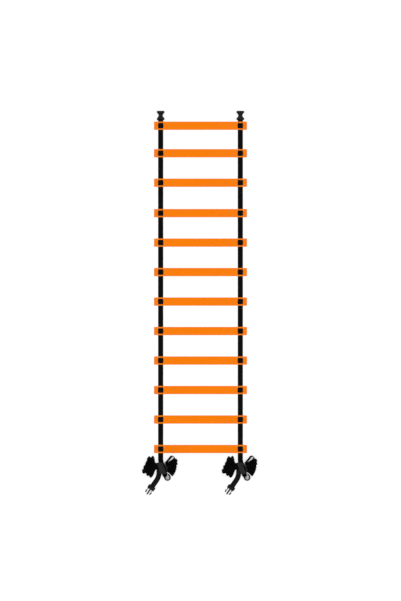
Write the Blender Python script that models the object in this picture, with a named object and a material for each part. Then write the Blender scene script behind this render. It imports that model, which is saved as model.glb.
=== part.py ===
"""Agility ladder: twelve flat rungs that slide on two webbing straps, a buckle half on each
strap end, and the spare webbing folded into a hank and wrapped below the last rung.

Metres, +Z up. The ladder lies flat with its length along Y and the rungs along X. The origin is
the centre of the first rung's underside.
"""

import math

import bmesh
import bpy
import numpy as np
from mathutils import Vector
from mathutils.bvhtree import BVHTree

# Clearances
RUN_GAP = 0.0003  # between pieces that slide or swing on each other
JOIN_GAP = 0.0003  # between two lengths of the same webbing
TURN_GAP = 0.0005  # between the two turns of a wrap
FLOOR_GAP = 0.0002  # under webbing that lies on the ground
OVERRUN = 0.002  # how far a cutter passes the face that it opens

# Webbing
WEB_WIDTH = 0.024
WEB_THICK = 0.001

# Rungs
RUNG_COUNT = 12
RUNG_LENGTH = 0.432
RUNG_WIDTH = 0.038
RUNG_THICK = 0.004
RUNG_CORNER = 0.0025
RUNG_EDGE = 0.0007
RUNG_PITCH = 0.1371
BAY_SHARES = (0.933, 1, 1.031) + (1,) * (RUNG_COUNT - 4)
STRAP_INSET = 0.0308  # strap middle from the rung end
CHANNEL_PLAY = 0.0015  # beside the strap in its channel
BRIDGE_WIDTH = 0.018
BRIDGE_THICK = 0.0011
SLOT_WIDTH = 0.004

# Creases of the straps
LAST_CREASE_SHIFT = 0.006  # keeps the folded stack clear of the hanks
HANK_CREASE = 0.030  # below the last rung's centre

# Socket halves of the buckles
BAR_RADIUS = 0.0014
BAR_HEIGHT = 0.0032
SOCKET_BAR = 0.028  # above the first rung's centre
SOCKET_END = 0.0023  # rails past the bar
SOCKET_LENGTH = 0.0433
SOCKET_RAIL = 0.0053  # beside the strap opening
SOCKET_WAIST = 0.0192
SOCKET_THICK = 0.0088
SOCKET_EDGE = 0.0013
SOCKET_CORNER = 0.0052
SHOULDER_SHARE = 0.674  # where the widest points lie, of half the length
FLARE_POWER_SHARE = 1.7  # how late the sides flare
SIDE_STEPS = 8
CORNER_STEPS = 4
SLOT_LENGTH = 0.0048
SLOT_ROOM = 0.0007  # between the strap rolled round the socket's bar and the end of its slot
SLOT_PLAY = 0.0013
MOUTH_WIDTH = 0.0276
MOUTH_HEIGHT = 0.005
MOUTH_DEPTH = 0.0305
GRIP_LENGTH = 0.009
GRIP_WIDTH = 0.0009
GRIP_DEPTH = 0.0005
GRIP_COUNT = 4
GRIP_PITCH = 0.0022
FOLD_BACK = 0.018  # sewn layer under the strap, from the bar towards the first rung

# Plug halves of the buckles
PLUG_RAIL = 0.0047
PLUG_THICK = 0.0076
PLUG_CORNER = 0.0045
PLUG_EDGE = 0.0009
PLUG_END = 0.003
PLUG_COLLAR = 0.0136
PRONG_THICK = 0.0044
GUIDE_LENGTH = 0.0275
GUIDE_ROOT = 0.0070
GUIDE_TIP = 0.0070
ARM_LENGTH = 0.0245
ARM_SPREAD = 0.0110  # arm pivot from the plug's middle
KNUCKLE_RADIUS = 0.0026
KNUCKLE_SET = 0.0006  # pivot behind the collar's front face
ARM_SHARES = (  # outline of an arm: of the knuckle's radius outwards, and of the arm's length
    (0.9, 0.04),
    (0.65, 0.25),
    (0.65, 0.42),
    (1.85, 0.48),
    (2.05, 0.56),
    (1.0, 0.93),
    (0.2, 1),
    (-0.6, 0.96),
    (-0.75, 0.7),
    (-0.3, 0.4),
    (-0.9, 0.04),
)
KNUCKLE_START = math.radians(153)
KNUCKLE_TURN = math.radians(234)
ROUND_STEPS = 16
PLUG_YAW = math.radians(145)  # the way the prongs point, from +Y
PLUG_PLACE = (-0.0390, -0.1742)

# Hank of spare webbing, from the strap's centre line and the last rung's centre
LAST_STRAND = 16
WAIST_LEFT = (-0.017, -0.0645)
WAIST_RIGHT = (0.015, -0.0670)
WAIST_RIGHT_SPREAD = 0.012
LEFT_STEP = 0.00175
RIGHT_STEP = 0.00276
HANK_END = 0.012  # how far the last strand runs in under the wrap
STRAND_STEPS = 4
CURVE_STEPS = 40
TIP_STEPS = 4
WAIST_PULL_SHARE = 0.42
LEG_START_SHARE = 0.36
LEG_END_SHARE = 0.5
LEFT_CENTRE = (-0.002, -0.084)
RIGHT_CENTRE = (0.006, -0.096)
REACH = 0.070
LOOP_WIDTH_SHARE = 0.5  # of the angle between neighbouring loops
DESCENT = 0.030  # leg length over which a leg comes down to the ground
FAN_LEAN = math.radians(25)
LEFT_HUB = (0.005, -0.080)  # the webbing leans about these two places
RIGHT_HUB = (0.000, -0.097)
LEFT_STILL = 0.022  # distance from the place up to which the webbing stays upright
RIGHT_STILL = 0.026
LEAN_RUN = 0.038  # further distance over which the webbing comes to lean fully
RING_SHARES = (-0.05, 0.15, 0.35, 0.55, 0.75, 1, 1.3)  # where legs have places, of that run
RING_CLEAR = 0.002  # least distance of a ring from the ends of a leg
LEFT_FIRST = math.radians(216)
LEFT_TURN = math.radians(-13)
LEFT_REACH_SHARES = (0.94, 1.03, 1.225, 1.11, 1.02, 1, 1.05, 0.9)
RIGHT_FIRST = math.radians(-30)
RIGHT_TURN = math.radians(10)
RIGHT_REACH_SHARES = (0.845, 0.87, 0.91, 0.955, 1, 1.11, 1.2, 1.17)
OPEN_LOOP_SHARE = 2.5  # width of the last, open loop on the right
OPEN_LOOP_TURN = math.radians(4)  # extra turn of the last, open loop on the right
LEAD_ROUTE = (
    (0.0000, -0.0380),
    (0.0000, -0.0500),
    (0.0028, -0.0650),
    (0.0078, -0.0820),
    (0.0132, -0.0990),
    (0.0170, -0.1120),
    (0.0183, -0.1200),
    (0.0182, -0.1290),
    (0.0214, -0.1395),
    (0.0310, -0.1450),
    (0.0408, -0.1415),
    (0.0440, -0.1330),
    (0.0408, -0.1235),
    (0.0345, -0.1160),
)
LEAD_STEPS = 2
LEAD_DROP = 0.016  # run over which the lead comes down to the ground
TWIST_FROM = 0.090  # along the lead, where it starts to turn up on edge
TWIST_RUN = 0.018
LEAD_LEAN = math.radians(14)  # how far the lead still leans once it has turned up
LEAD_RISE = 0.020  # last run of the lead, up to the first strand

# Where the least gap of a band to itself is measured
GAP_SEARCH = 0.0035
GAP_APART = 0.006
GAP_STEP_SHARES = (0, 0.5)
GAP_WIDTH_SHARES = (0, 0.17, 0.33, 0.5, 0.67, 0.83, 1)

# Wrap round the hank's waist, and its tail
WRAP_TOP_X = -0.0045
WRAP_LOW_X = 0.014
WRAP_CORNER = 0.003
WRAP_CLEAR = 0.0008  # between the wrap and the strands in it
WRAP_START = 0.004
TAIL_START = (-0.0078, -0.1162)
TAIL_LEAN = (-0.18, -0.984)
TAIL_STRAIGHT = 0.030  # last run to the plug, under the sewn fold
TAIL_FOLD = 0.022
TAIL_STEPS = 7
TAIL_PULL_SHARE = 0.4
ROLL_STEPS = 8

# Colours and finishes
ORANGE = (0.95, 0.22, 0.0)
WEB_BLACK = (0.012, 0.012, 0.013)
BUCKLE_BLACK = (0.015, 0.015, 0.016)

# Levels worked out from the sizes above
STRAP_BASE = BRIDGE_THICK + RUN_GAP
STRAP_MIDDLE = STRAP_BASE + WEB_THICK / 2
LIP_BASE = STRAP_BASE + WEB_THICK + RUN_GAP
GROUND_LEVEL = FLOOR_GAP + WEB_THICK / 2
OUTER_LOW = GROUND_LEVEL + WEB_THICK + RUN_GAP
INNER_LOW = OUTER_LOW + WEB_THICK + TURN_GAP
STRAND_BASE = INNER_LOW + WEB_THICK / 2 + WRAP_CLEAR
INNER_HIGH = STRAND_BASE + WEB_WIDTH + WRAP_CLEAR + WEB_THICK / 2
OUTER_HIGH = INNER_HIGH + WEB_THICK + TURN_GAP
ROLL_RADIUS = BAR_RADIUS + RUN_GAP + WEB_THICK / 2
CHANNEL_HALF = WEB_WIDTH / 2 + CHANNEL_PLAY
SLOT_OUT = BRIDGE_WIDTH / 2 + SLOT_WIDTH
SLOT_HALF = WEB_WIDTH / 2 + SLOT_PLAY
STRAP_SPACING = RUNG_LENGTH - 2 * STRAP_INSET
COLLAR_FRONT = BAR_RADIUS + SLOT_LENGTH - RUN_GAP + PLUG_COLLAR - PLUG_END

UP = np.array((0.0, 0.0, 1.0))
ACROSS = np.array((1.0, 0.0, 0.0))


def clear_scene():
    for item in list(bpy.data.objects):
        bpy.data.objects.remove(item, do_unlink=True)


def plastic(name, colour, roughness):
    made = bpy.data.materials.new(name)
    made.use_nodes = True
    shader = made.node_tree.nodes["Principled BSDF"]
    shader.inputs["Base Color"].default_value = (*colour, 1)
    shader.inputs["Roughness"].default_value = roughness
    shader.inputs["Metallic"].default_value = 0
    return made


def add_object(name, mesh, colour, roughness, place=(0, 0, 0), yaw=0.0):
    made = bpy.data.objects.new(name, mesh)
    made.location = place
    made.rotation_euler = (0, 0, yaw)
    made.data.materials.clear()
    made.data.materials.append(plastic(name, colour, roughness))
    bpy.context.scene.collection.objects.link(made)
    return made


def finish_mesh(shape, name):
    bmesh.ops.recalc_face_normals(shape, faces=shape.faces)
    mesh = bpy.data.meshes.new(name)
    shape.to_mesh(mesh)
    shape.free()
    return mesh


def prism(outline, low, high, edge=0.0, name="prism"):
    """A closed solid over an outline in plan, with its two rims rounded off by edge."""
    shape = bmesh.new()
    floor = [shape.verts.new((x, y, low)) for x, y in outline]
    face = shape.faces.new(floor)
    grown = bmesh.ops.extrude_face_region(shape, geom=[face])
    risen = [item for item in grown["geom"] if isinstance(item, bmesh.types.BMVert)]
    for vert in risen:
        vert.co.z = high
    if edge:
        rims = [e for e in shape.edges if abs(e.verts[0].co.z - e.verts[1].co.z) < edge]
        bmesh.ops.bevel(shape, geom=rims, offset=edge, segments=2, profile=0.6, affect="EDGES")
    return finish_mesh(shape, name)


def arc(centre, radius, start, turn, steps):
    return [
        (
            centre[0] + radius * math.cos(start + turn * i / steps),
            centre[1] + radius * math.sin(start + turn * i / steps),
        )
        for i in range(steps + 1)
    ]


def rounded_rectangle(x_low, x_high, y_low, y_high, radius, steps=3):
    quarter = math.pi / 2
    points = arc((x_high - radius, y_low + radius), radius, -quarter, quarter, steps)
    points += arc((x_high - radius, y_high - radius), radius, 0, quarter, steps)
    points += arc((x_low + radius, y_high - radius), radius, quarter, quarter, steps)
    points += arc((x_low + radius, y_low + radius), radius, 2 * quarter, quarter, steps)
    return points


def rectangle(x_low, x_high, y_low, y_high):
    return [(x_low, y_low), (x_high, y_low), (x_high, y_high), (x_low, y_high)]


def cutter(outline, low, high, place=(0, 0, 0), yaw=0.0):
    made = bpy.data.objects.new("cutter", prism(outline, low, high, name="cutter"))
    made.location = place
    made.rotation_euler = (0, 0, yaw)
    made.hide_render = True
    made.display_type = "WIRE"
    bpy.context.scene.collection.objects.link(made)
    return made


def cylinder_along_x(radius, half, y, z, name):
    shape = bmesh.new()
    ring = arc((y, z), radius, 0, 2 * math.pi, ROUND_STEPS)[:-1]
    face = shape.faces.new([shape.verts.new((-half, a, b)) for a, b in ring])
    grown = bmesh.ops.extrude_face_region(shape, geom=[face])
    for item in grown["geom"]:
        if isinstance(item, bmesh.types.BMVert):
            item.co.x = half
    return finish_mesh(shape, name)


def helper(mesh):
    made = bpy.data.objects.new("helper", mesh)
    made.hide_render = True
    made.display_type = "WIRE"
    bpy.context.scene.collection.objects.link(made)
    return made


def combine(mesh, tools):
    """The mesh after each (operation, helper object) in turn, worked out once so that copies share it."""
    base = helper(mesh)
    for operation, tool in tools:
        step = base.modifiers.new(operation.lower(), "BOOLEAN")
        step.operation = operation
        step.object = tool
        step.solver = "EXACT"
    graph = bpy.context.evaluated_depsgraph_get()
    made = bpy.data.meshes.new_from_object(base.evaluated_get(graph))
    for item in [base] + [tool for _, tool in tools]:
        bpy.data.objects.remove(item, do_unlink=True)
    return made


def smooth(mesh, angle=math.radians(35)):
    mesh.shade_smooth()
    mesh.set_sharp_from_angle(angle=angle)


def unit(vector):
    return vector / np.linalg.norm(vector)


def directions(points):
    """The way a path runs at each of its points."""
    ahead = np.vstack([points[1:] - points[:-1], points[-1:] - points[-2:-1]])
    behind = np.vstack([ahead[:1], ahead[:-1]])
    ahead = ahead / np.linalg.norm(ahead, axis=1, keepdims=True)
    behind = behind / np.linalg.norm(behind, axis=1, keepdims=True)
    mean = ahead + behind
    return mean / np.linalg.norm(mean, axis=1, keepdims=True)


def square_sides(points, widths):
    """Half the band's width at each point, turned square to the band's run."""
    runs = directions(np.array(points))
    return [unit(w - r * r.dot(w)) * WEB_WIDTH / 2 for r, w in zip(runs, np.array(widths))]


def webbing(points, sides, name):
    """A flat band through points, reaching sides to either side: a rectangle extruded along them."""
    points = np.array(points)
    shape = bmesh.new()
    face = None
    for point, run, side in zip(points, directions(points), sides):
        thick = unit(np.cross(run, side)) * WEB_THICK / 2
        corners = [point + side + thick, point - side + thick, point - side - thick, point + side - thick]
        if face is None:
            face = first = shape.faces.new([shape.verts.new(corner) for corner in corners])
            continue
        grown = bmesh.ops.extrude_face_region(shape, geom=[face])
        if face is not first:
            bmesh.ops.delete(shape, geom=[face], context="FACES_ONLY")
        face = next(item for item in grown["geom"] if isinstance(item, bmesh.types.BMFace))
        for vert, corner in zip(face.verts, corners):
            vert.co = corner
    mesh = finish_mesh(shape, name)
    smooth(mesh)
    return mesh


def lengths_along(points):
    """How far along a path each of its points lies."""
    steps = np.linalg.norm(np.diff(np.array(points), axis=0), axis=1)
    return np.concatenate([[0], np.cumsum(steps)])


def least_gap(points, sides):
    """The least clear distance from a band to itself, between places well apart along it."""
    points = np.array(points)
    along = lengths_along(points)
    edges = [(p - s, p + s) for p, s in zip(points, sides)]
    corners = [Vector(c) for pair in edges for c in pair]
    faces = [(2 * i, 2 * i + 1, 2 * i + 3, 2 * i + 2) for i in range(len(points) - 1)]
    tree = BVHTree.FromPolygons(corners, faces)
    least = math.inf
    for i in range(len(points) - 1):
        for part in GAP_STEP_SHARES:
            low = edges[i][0] * (1 - part) + edges[i + 1][0] * part
            high = edges[i][1] * (1 - part) + edges[i + 1][1] * part
            here = along[i] * (1 - part) + along[i + 1] * part
            for share in GAP_WIDTH_SHARES:
                spot = Vector(low * (1 - share) + high * share)
                for _, _, face, distance in tree.find_nearest_range(spot, GAP_SEARCH):
                    if not along[face] - GAP_APART < here < along[face + 1] + GAP_APART:
                        least = min(least, distance)
    return least - WEB_THICK


def cubic(start, pull_start, pull_end, end, steps):
    """Points of a cubic curve after its start."""
    made = []
    for i in range(1, steps + 1):
        t = i / steps
        made.append(
            start * (1 - t) ** 3
            + 3 * pull_start * t * (1 - t) ** 2
            + 3 * pull_end * t**2 * (1 - t)
            + end * t**3
        )
    return made


def through(points, steps):
    """A smooth curve through all points, with steps stretches between each pair."""
    points = [np.array(p, float) for p in points]
    ends = [2 * points[0] - points[1]] + points + [2 * points[-1] - points[-2]]
    made = [points[0]]
    for a, b, c, d in zip(ends, ends[1:], ends[2:], ends[3:]):
        for i in range(1, steps + 1):
            t = i / steps
            square = (2 * a - 5 * b + 4 * c - d) * t**2
            cube = (3 * b - a - 3 * c + d) * t**3
            made.append((2 * b + (c - a) * t + square + cube) / 2)
    return made


def ease(t):
    t = min(max(t, 0), 1)
    return t * t * (3 - 2 * t)


def quarter_turn(direction):
    return np.array((-direction[1], direction[0]))


def rung_y(number):
    """Rungs are numbered from 1, at the socket end."""
    return -RUNG_PITCH * sum(BAY_SHARES[: number - 1])


def crease_y(number):
    """The crease between rung number and the next one."""
    middle = (rung_y(number) + rung_y(number + 1)) / 2
    return middle + LAST_CREASE_SHIFT if number == RUNG_COUNT - 1 else middle


def rung_mesh():
    half = RUNG_WIDTH / 2
    slat = prism(
        rounded_rectangle(-RUNG_LENGTH / 2, RUNG_LENGTH / 2, -half, half, RUNG_CORNER, 2),
        0,
        RUNG_THICK,
        RUNG_EDGE,
        "rung",
    )
    tools = []
    for strap in (-STRAP_SPACING / 2, STRAP_SPACING / 2):
        low = strap - CHANNEL_HALF
        high = strap + CHANNEL_HALF
        recess = rectangle(low, high, -SLOT_OUT, SLOT_OUT)
        tools.append(("DIFFERENCE", cutter(recess, BRIDGE_THICK, RUNG_THICK + OVERRUN)))
        for way in (-1, 1):
            inner, outer = sorted((way * BRIDGE_WIDTH / 2, way * SLOT_OUT))
            slot = rectangle(low, high, inner, outer)
            tools.append(("DIFFERENCE", cutter(slot, -OVERRUN, RUNG_THICK / 2)))
            inner, outer = sorted((way * (SLOT_OUT - SLOT_WIDTH / 2), way * (half + OVERRUN)))
            under_lip = rectangle(low, high, inner, outer)
            tools.append(("DIFFERENCE", cutter(under_lip, -OVERRUN, LIP_BASE)))
    mesh = combine(slat, tools)
    smooth(mesh)
    return mesh


def socket_outline():
    """The hourglass of the socket: flared shoulders, a drawn-in waist and round corners."""
    half_length = SOCKET_LENGTH / 2
    shoulder = half_length * SHOULDER_SHARE
    flare = SLOT_HALF + SOCKET_RAIL
    waist = SOCKET_WAIST / 2
    side = []
    for i in range(2 * SIDE_STEPS + 1):
        share = i / SIDE_STEPS - 1
        side.append((waist + (flare - waist) * abs(share) ** FLARE_POWER_SHARE, shoulder * share))
    reach = half_length - shoulder
    corner = [
        (
            flare - SOCKET_CORNER * (1 - math.cos(math.pi / 2 * i / CORNER_STEPS)),
            shoulder + reach * math.sin(math.pi / 2 * i / CORNER_STEPS),
        )
        for i in range(1, CORNER_STEPS + 1)
    ]
    right = [(x, -y) for x, y in reversed(corner)] + side + corner
    return right + [(-x, y) for x, y in reversed(right)]


def socket_mesh():
    """Built about its bar: the mouth looks along +Y."""
    middle = SOCKET_LENGTH / 2 - SOCKET_END
    outline = [(x, y + middle) for x, y in socket_outline()]
    body = prism(outline, 0, SOCKET_THICK, SOCKET_EDGE, "socket")
    mouth_end = SOCKET_LENGTH - SOCKET_END
    slot_end = ROLL_RADIUS + WEB_THICK / 2 + SLOT_ROOM
    strap_gap = rectangle(-SLOT_HALF, SLOT_HALF, -SOCKET_END - OVERRUN, slot_end)
    mouth = rectangle(-MOUTH_WIDTH / 2, MOUTH_WIDTH / 2, mouth_end - MOUTH_DEPTH, mouth_end + OVERRUN)
    mouth_low = (SOCKET_THICK - MOUTH_HEIGHT) / 2
    tools = [
        ("DIFFERENCE", cutter(strap_gap, -OVERRUN, SOCKET_THICK + OVERRUN)),
        ("DIFFERENCE", cutter(mouth, mouth_low, mouth_low + MOUTH_HEIGHT)),
    ]
    for i in range(GRIP_COUNT):
        y = middle + GRIP_PITCH * (i - (GRIP_COUNT - 1) / 2) - GRIP_WIDTH / 2
        groove = rectangle(-GRIP_LENGTH / 2, GRIP_LENGTH / 2, y, y + GRIP_WIDTH)
        tools.append(("DIFFERENCE", cutter(groove, SOCKET_THICK - GRIP_DEPTH, SOCKET_THICK + OVERRUN)))
    bar = cylinder_along_x(BAR_RADIUS, SLOT_HALF + SOCKET_EDGE, 0, BAR_HEIGHT, "bar")
    tools.append(("UNION", helper(bar)))
    mesh = combine(body, tools)
    smooth(mesh)
    return mesh


def plug_mesh():
    """Built about its bar: the prongs point along +Y."""
    half = SLOT_HALF + PLUG_RAIL
    outline = rounded_rectangle(-half, half, -PLUG_END, COLLAR_FRONT, PLUG_CORNER)
    base = prism(outline, 0, PLUG_THICK, PLUG_EDGE, "plug")
    slot_end = COLLAR_FRONT - PLUG_COLLAR
    strap_gap = rectangle(-SLOT_HALF, SLOT_HALF, -PLUG_END - OVERRUN, slot_end)
    low = (PLUG_THICK - PRONG_THICK) / 2
    guide = [
        (-GUIDE_ROOT / 2, COLLAR_FRONT - OVERRUN),
        (GUIDE_ROOT / 2, COLLAR_FRONT - OVERRUN),
        (GUIDE_TIP / 2, COLLAR_FRONT + GUIDE_LENGTH - GUIDE_TIP / 2),
        (GUIDE_TIP / 4, COLLAR_FRONT + GUIDE_LENGTH),
        (-GUIDE_TIP / 4, COLLAR_FRONT + GUIDE_LENGTH),
        (-GUIDE_TIP / 2, COLLAR_FRONT + GUIDE_LENGTH - GUIDE_TIP / 2),
    ]
    tools = [("DIFFERENCE", cutter(strap_gap, -OVERRUN, PLUG_THICK + OVERRUN))]
    for way in (-1, 1):
        pivot = (way * ARM_SPREAD, COLLAR_FRONT - KNUCKLE_SET)
        seat = arc(pivot, KNUCKLE_RADIUS + RUN_GAP, 0, 2 * math.pi, ROUND_STEPS)[:-1]
        tools.append(("DIFFERENCE", cutter(seat, low - RUN_GAP, low + PRONG_THICK + RUN_GAP)))
        opening = rectangle(
            pivot[0] - KNUCKLE_RADIUS - RUN_GAP,
            pivot[0] + KNUCKLE_RADIUS + RUN_GAP,
            pivot[1],
            COLLAR_FRONT + OVERRUN,
        )
        tools.append(("DIFFERENCE", cutter(opening, low - RUN_GAP, low + PRONG_THICK + RUN_GAP)))
    bar = cylinder_along_x(BAR_RADIUS, SLOT_HALF + PLUG_EDGE, 0, BAR_HEIGHT, "bar")
    tools.append(("UNION", helper(bar)))
    tools.append(("UNION", helper(prism(guide, low, low + PRONG_THICK, name="guide"))))
    mesh = combine(base, tools)
    smooth(mesh)
    return mesh


def arm_mesh(way):
    """A springing arm about its pivot, pointing along +Y, with its barbed head outwards."""
    knuckle = arc((0, 0), KNUCKLE_RADIUS, KNUCKLE_START, KNUCKLE_TURN, ROUND_STEPS // 2)
    blade = [(x * KNUCKLE_RADIUS, y * ARM_LENGTH) for x, y in ARM_SHARES]
    outline = [(way * x, y) for x, y in knuckle + blade]
    low = (PLUG_THICK - PRONG_THICK) / 2
    mesh = prism(outline, low, low + PRONG_THICK, name="arm")
    smooth(mesh)
    return mesh


def strap_segment(low, high):
    half = WEB_WIDTH / 2
    return prism(rectangle(-half, half, low, high), STRAP_BASE, STRAP_BASE + WEB_THICK, name="strap")


def roll(over):
    """Points round a bar in the plane of its run and Z, from one tangent to the other."""
    start = math.pi / 2 if over else -math.pi / 2
    turn = -math.pi if over else math.pi
    return arc((0, BAR_HEIGHT), ROLL_RADIUS, start, turn, ROLL_STEPS)


def head_strap_path():
    """The first strap length: along the ladder, over the socket's bar and back under itself."""
    lip = RUNG_WIDTH / 2
    back = STRAP_BASE - RUN_GAP - WEB_THICK / 2
    side = [(crease_y(1) + JOIN_GAP / 2, STRAP_MIDDLE), (0, STRAP_MIDDLE), (lip, STRAP_MIDDLE)]
    side.append(((lip + SOCKET_BAR) / 2, (STRAP_MIDDLE + BAR_HEIGHT + ROLL_RADIUS) / 2))
    side += [(SOCKET_BAR + y, z) for y, z in roll(True)]
    side.append(((lip + SOCKET_BAR) / 2, (back + BAR_HEIGHT - ROLL_RADIUS) / 2))
    side += [(lip, back), (SOCKET_BAR - FOLD_BACK, back)]
    return [np.array((0, y, z)) for y, z in side]


def strand_ends(number):
    """Left and right end of a strand in the waist; strand 0 is the lowest."""
    steps = LAST_STRAND - number
    left = np.array((WAIST_LEFT[0], WAIST_LEFT[1] - LEFT_STEP * steps))
    spread = WAIST_RIGHT_SPREAD * steps / LAST_STRAND
    right = np.array((WAIST_RIGHT[0] + spread, WAIST_RIGHT[1] - RIGHT_STEP * steps))
    return left, right


def lean_at(place):
    """How far webbing on edge at a place in plan leans, as a plan vector for each metre of rise."""
    centre, still = (LEFT_HUB, LEFT_STILL) if place[0] < 0 else (RIGHT_HUB, RIGHT_STILL)
    spoke = np.array(place) - centre
    past = np.linalg.norm(spoke) - still
    return quarter_turn(unit(spoke)) * math.tan(FAN_LEAN * ease(past / LEAN_RUN))


class Band:
    """Collects the middle places and half widths of a band of webbing that stands or leans on edge."""

    def __init__(self):
        self.points = []
        self.sides = []

    def lay(self, place, run, base, lean):
        """A place of the band with its lower edge at base, leaning to the left of its run."""
        width = np.append(quarter_turn(run) * math.sin(lean), math.cos(lean))
        height = base + WEB_WIDTH / 2 * math.cos(lean) + WEB_THICK / 2 * math.sin(lean)
        self.points.append(np.append(place, height))
        self.sides.append(width * WEB_WIDTH / 2)

    def stand(self, place, base):
        """A place of the band whose foot is at base, leaning as all webbing about it does."""
        slope = lean_at(place)
        width = unit(np.append(slope, 1))
        foot = base + WEB_THICK / 2 * math.sqrt(1 - width[2] ** 2)
        self.points.append(np.append(place + slope * foot, foot) + width * WEB_WIDTH / 2)
        self.sides.append(width * WEB_WIDTH / 2)


def leg_places(start, outward, tip, centre):
    """A leg of a loop from the waist out to its tip, where it points away from the fan's centre.

    All legs of a fan have their places on the same rings, so that neighbours lean alike.
    """
    length = np.linalg.norm(tip - start)
    pull_out = start + outward * length * LEG_START_SHARE
    pull_in = tip - unit(tip - centre) * length * LEG_END_SHARE
    curve = np.array([start] + cubic(start, pull_out, pull_in, tip, CURVE_STEPS))
    hub, still = (LEFT_HUB, LEFT_STILL) if outward[0] < 0 else (RIGHT_HUB, RIGHT_STILL)
    radii = np.linalg.norm(curve - hub, axis=1)
    rings = [still + LEAN_RUN * share for share in RING_SHARES]
    rings = [ring for ring in rings if radii[0] + RING_CLEAR < ring < radii[-1] - RING_CLEAR]
    inner = [np.array([np.interp(ring, radii, curve[:, 0]), np.interp(ring, radii, curve[:, 1])]) for ring in rings]
    return [start] + inner + [tip]


def leg_bases(places):
    """The heights of a leg's lower edge, from the waist down to the ground."""
    return [STRAND_BASE + (FLOOR_GAP - STRAND_BASE) * ease(gone / DESCENT) for gone in lengths_along(places)]


def fan_loop(band, start, end, outward, centre, angle, reach, radius):
    """One loop of a fan: out along a leg, round its tip and back to the next strand."""
    facing = np.array((math.cos(angle), math.sin(angle)))
    first_side = quarter_turn(facing) if outward[0] < 0 else -quarter_turn(facing)
    hub = np.array(centre) + facing * (reach - radius)
    places = leg_places(start, outward, hub + first_side * radius, centre)
    for place, base in list(zip(places, leg_bases(places)))[1:]:
        band.stand(place, base)
    for i in range(1, TIP_STEPS):
        turned = math.pi * i / TIP_STEPS
        band.stand(hub + first_side * radius * math.cos(turned) + facing * radius * math.sin(turned), FLOOR_GAP)
    places = leg_places(end, outward, hub - first_side * radius, centre)
    for place, base in reversed(list(zip(places, leg_bases(places)))):
        band.stand(place, base)


def strand_places(number):
    left, right = strand_ends(number)
    start, end = (right, left) if number % 2 == 0 else (left, right)
    level = np.array((end[0] - start[0], 0)) * WAIST_PULL_SHARE
    return [start] + cubic(start, start + level, end - level, end, STRAND_STEPS)


def lead_places():
    """The way in: from the crease under the last rung, flat on the ground, to the first strand."""
    points = [(0, -HANK_CREASE - JOIN_GAP / 2)] + list(LEAD_ROUTE) + [tuple(strand_ends(0)[1])]
    return through(points, LEAD_STEPS)


def add_lead(band):
    """The lead lies flat under the wrap, then turns up on edge and rises to the first strand."""
    places = lead_places()
    along = lengths_along(places)
    for place, run, gone in zip(places, directions(np.array(places)), along):
        low = STRAP_BASE + (FLOOR_GAP - STRAP_BASE) * ease(gone / LEAD_DROP)
        base = low + (STRAND_BASE - low) * ease(1 - (along[-1] - gone) / LEAD_RISE)
        flat = math.pi / 2 * (1 - ease((gone - TWIST_FROM) / TWIST_RUN))
        kept = LEAD_LEAN * ease((along[-1] - gone) / LEAD_RISE)
        band.lay(place, run, base, max(flat, kept))


def hank_path():
    band = Band()
    add_lead(band)
    fans = (
        (np.array((-1.0, 0.0)), np.array(LEFT_CENTRE), LEFT_FIRST, LEFT_TURN, LEFT_REACH_SHARES),
        (np.array((1.0, 0.0)), np.array(RIGHT_CENTRE), RIGHT_FIRST, RIGHT_TURN, RIGHT_REACH_SHARES),
    )
    for number in range(LAST_STRAND):
        for place in strand_places(number)[1:]:
            band.stand(place, STRAND_BASE)
        loop = number // 2
        side = number % 2
        outward, centre, first, turn, reach_shares = fans[side]
        reach = REACH * reach_shares[loop]
        radius = reach * math.tan(abs(turn) * LOOP_WIDTH_SHARE / 2)
        angle = first + turn * loop
        if number == LAST_STRAND - 1:
            angle += OPEN_LOOP_TURN
            radius *= OPEN_LOOP_SHARE
        fan_loop(
            band,
            strand_ends(number)[side],
            strand_ends(number + 1)[side],
            outward,
            centre,
            angle,
            reach,
            radius,
        )
    for place in strand_places(LAST_STRAND)[1:]:
        if place[0] > WAIST_RIGHT[0] - HANK_END:
            band.stand(place, STRAND_BASE)
    return band.points, band.sides


def rounded_path(corners, radius, steps):
    """A path through corners in space, each but the first and last turned with an even radius."""
    corners = [np.array(c, float) for c in corners]
    made = [corners[0]]
    for before, corner, after in zip(corners, corners[1:], corners[2:]):
        back = unit(before - corner)
        ahead = unit(after - corner)
        half = math.acos(max(-1, min(1, back.dot(ahead)))) / 2
        reach = radius / math.tan(half)
        start = corner + back * reach
        end = corner + ahead * reach
        middle = unit(back + ahead)
        centre = corner + middle * radius / math.sin(half)
        for i in range(steps + 1):
            t = i / steps
            spoke = unit((start - centre) * (1 - t) + (end - centre) * t)
            made.append(centre + spoke * radius)
    made.append(corners[-1])
    return made


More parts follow.
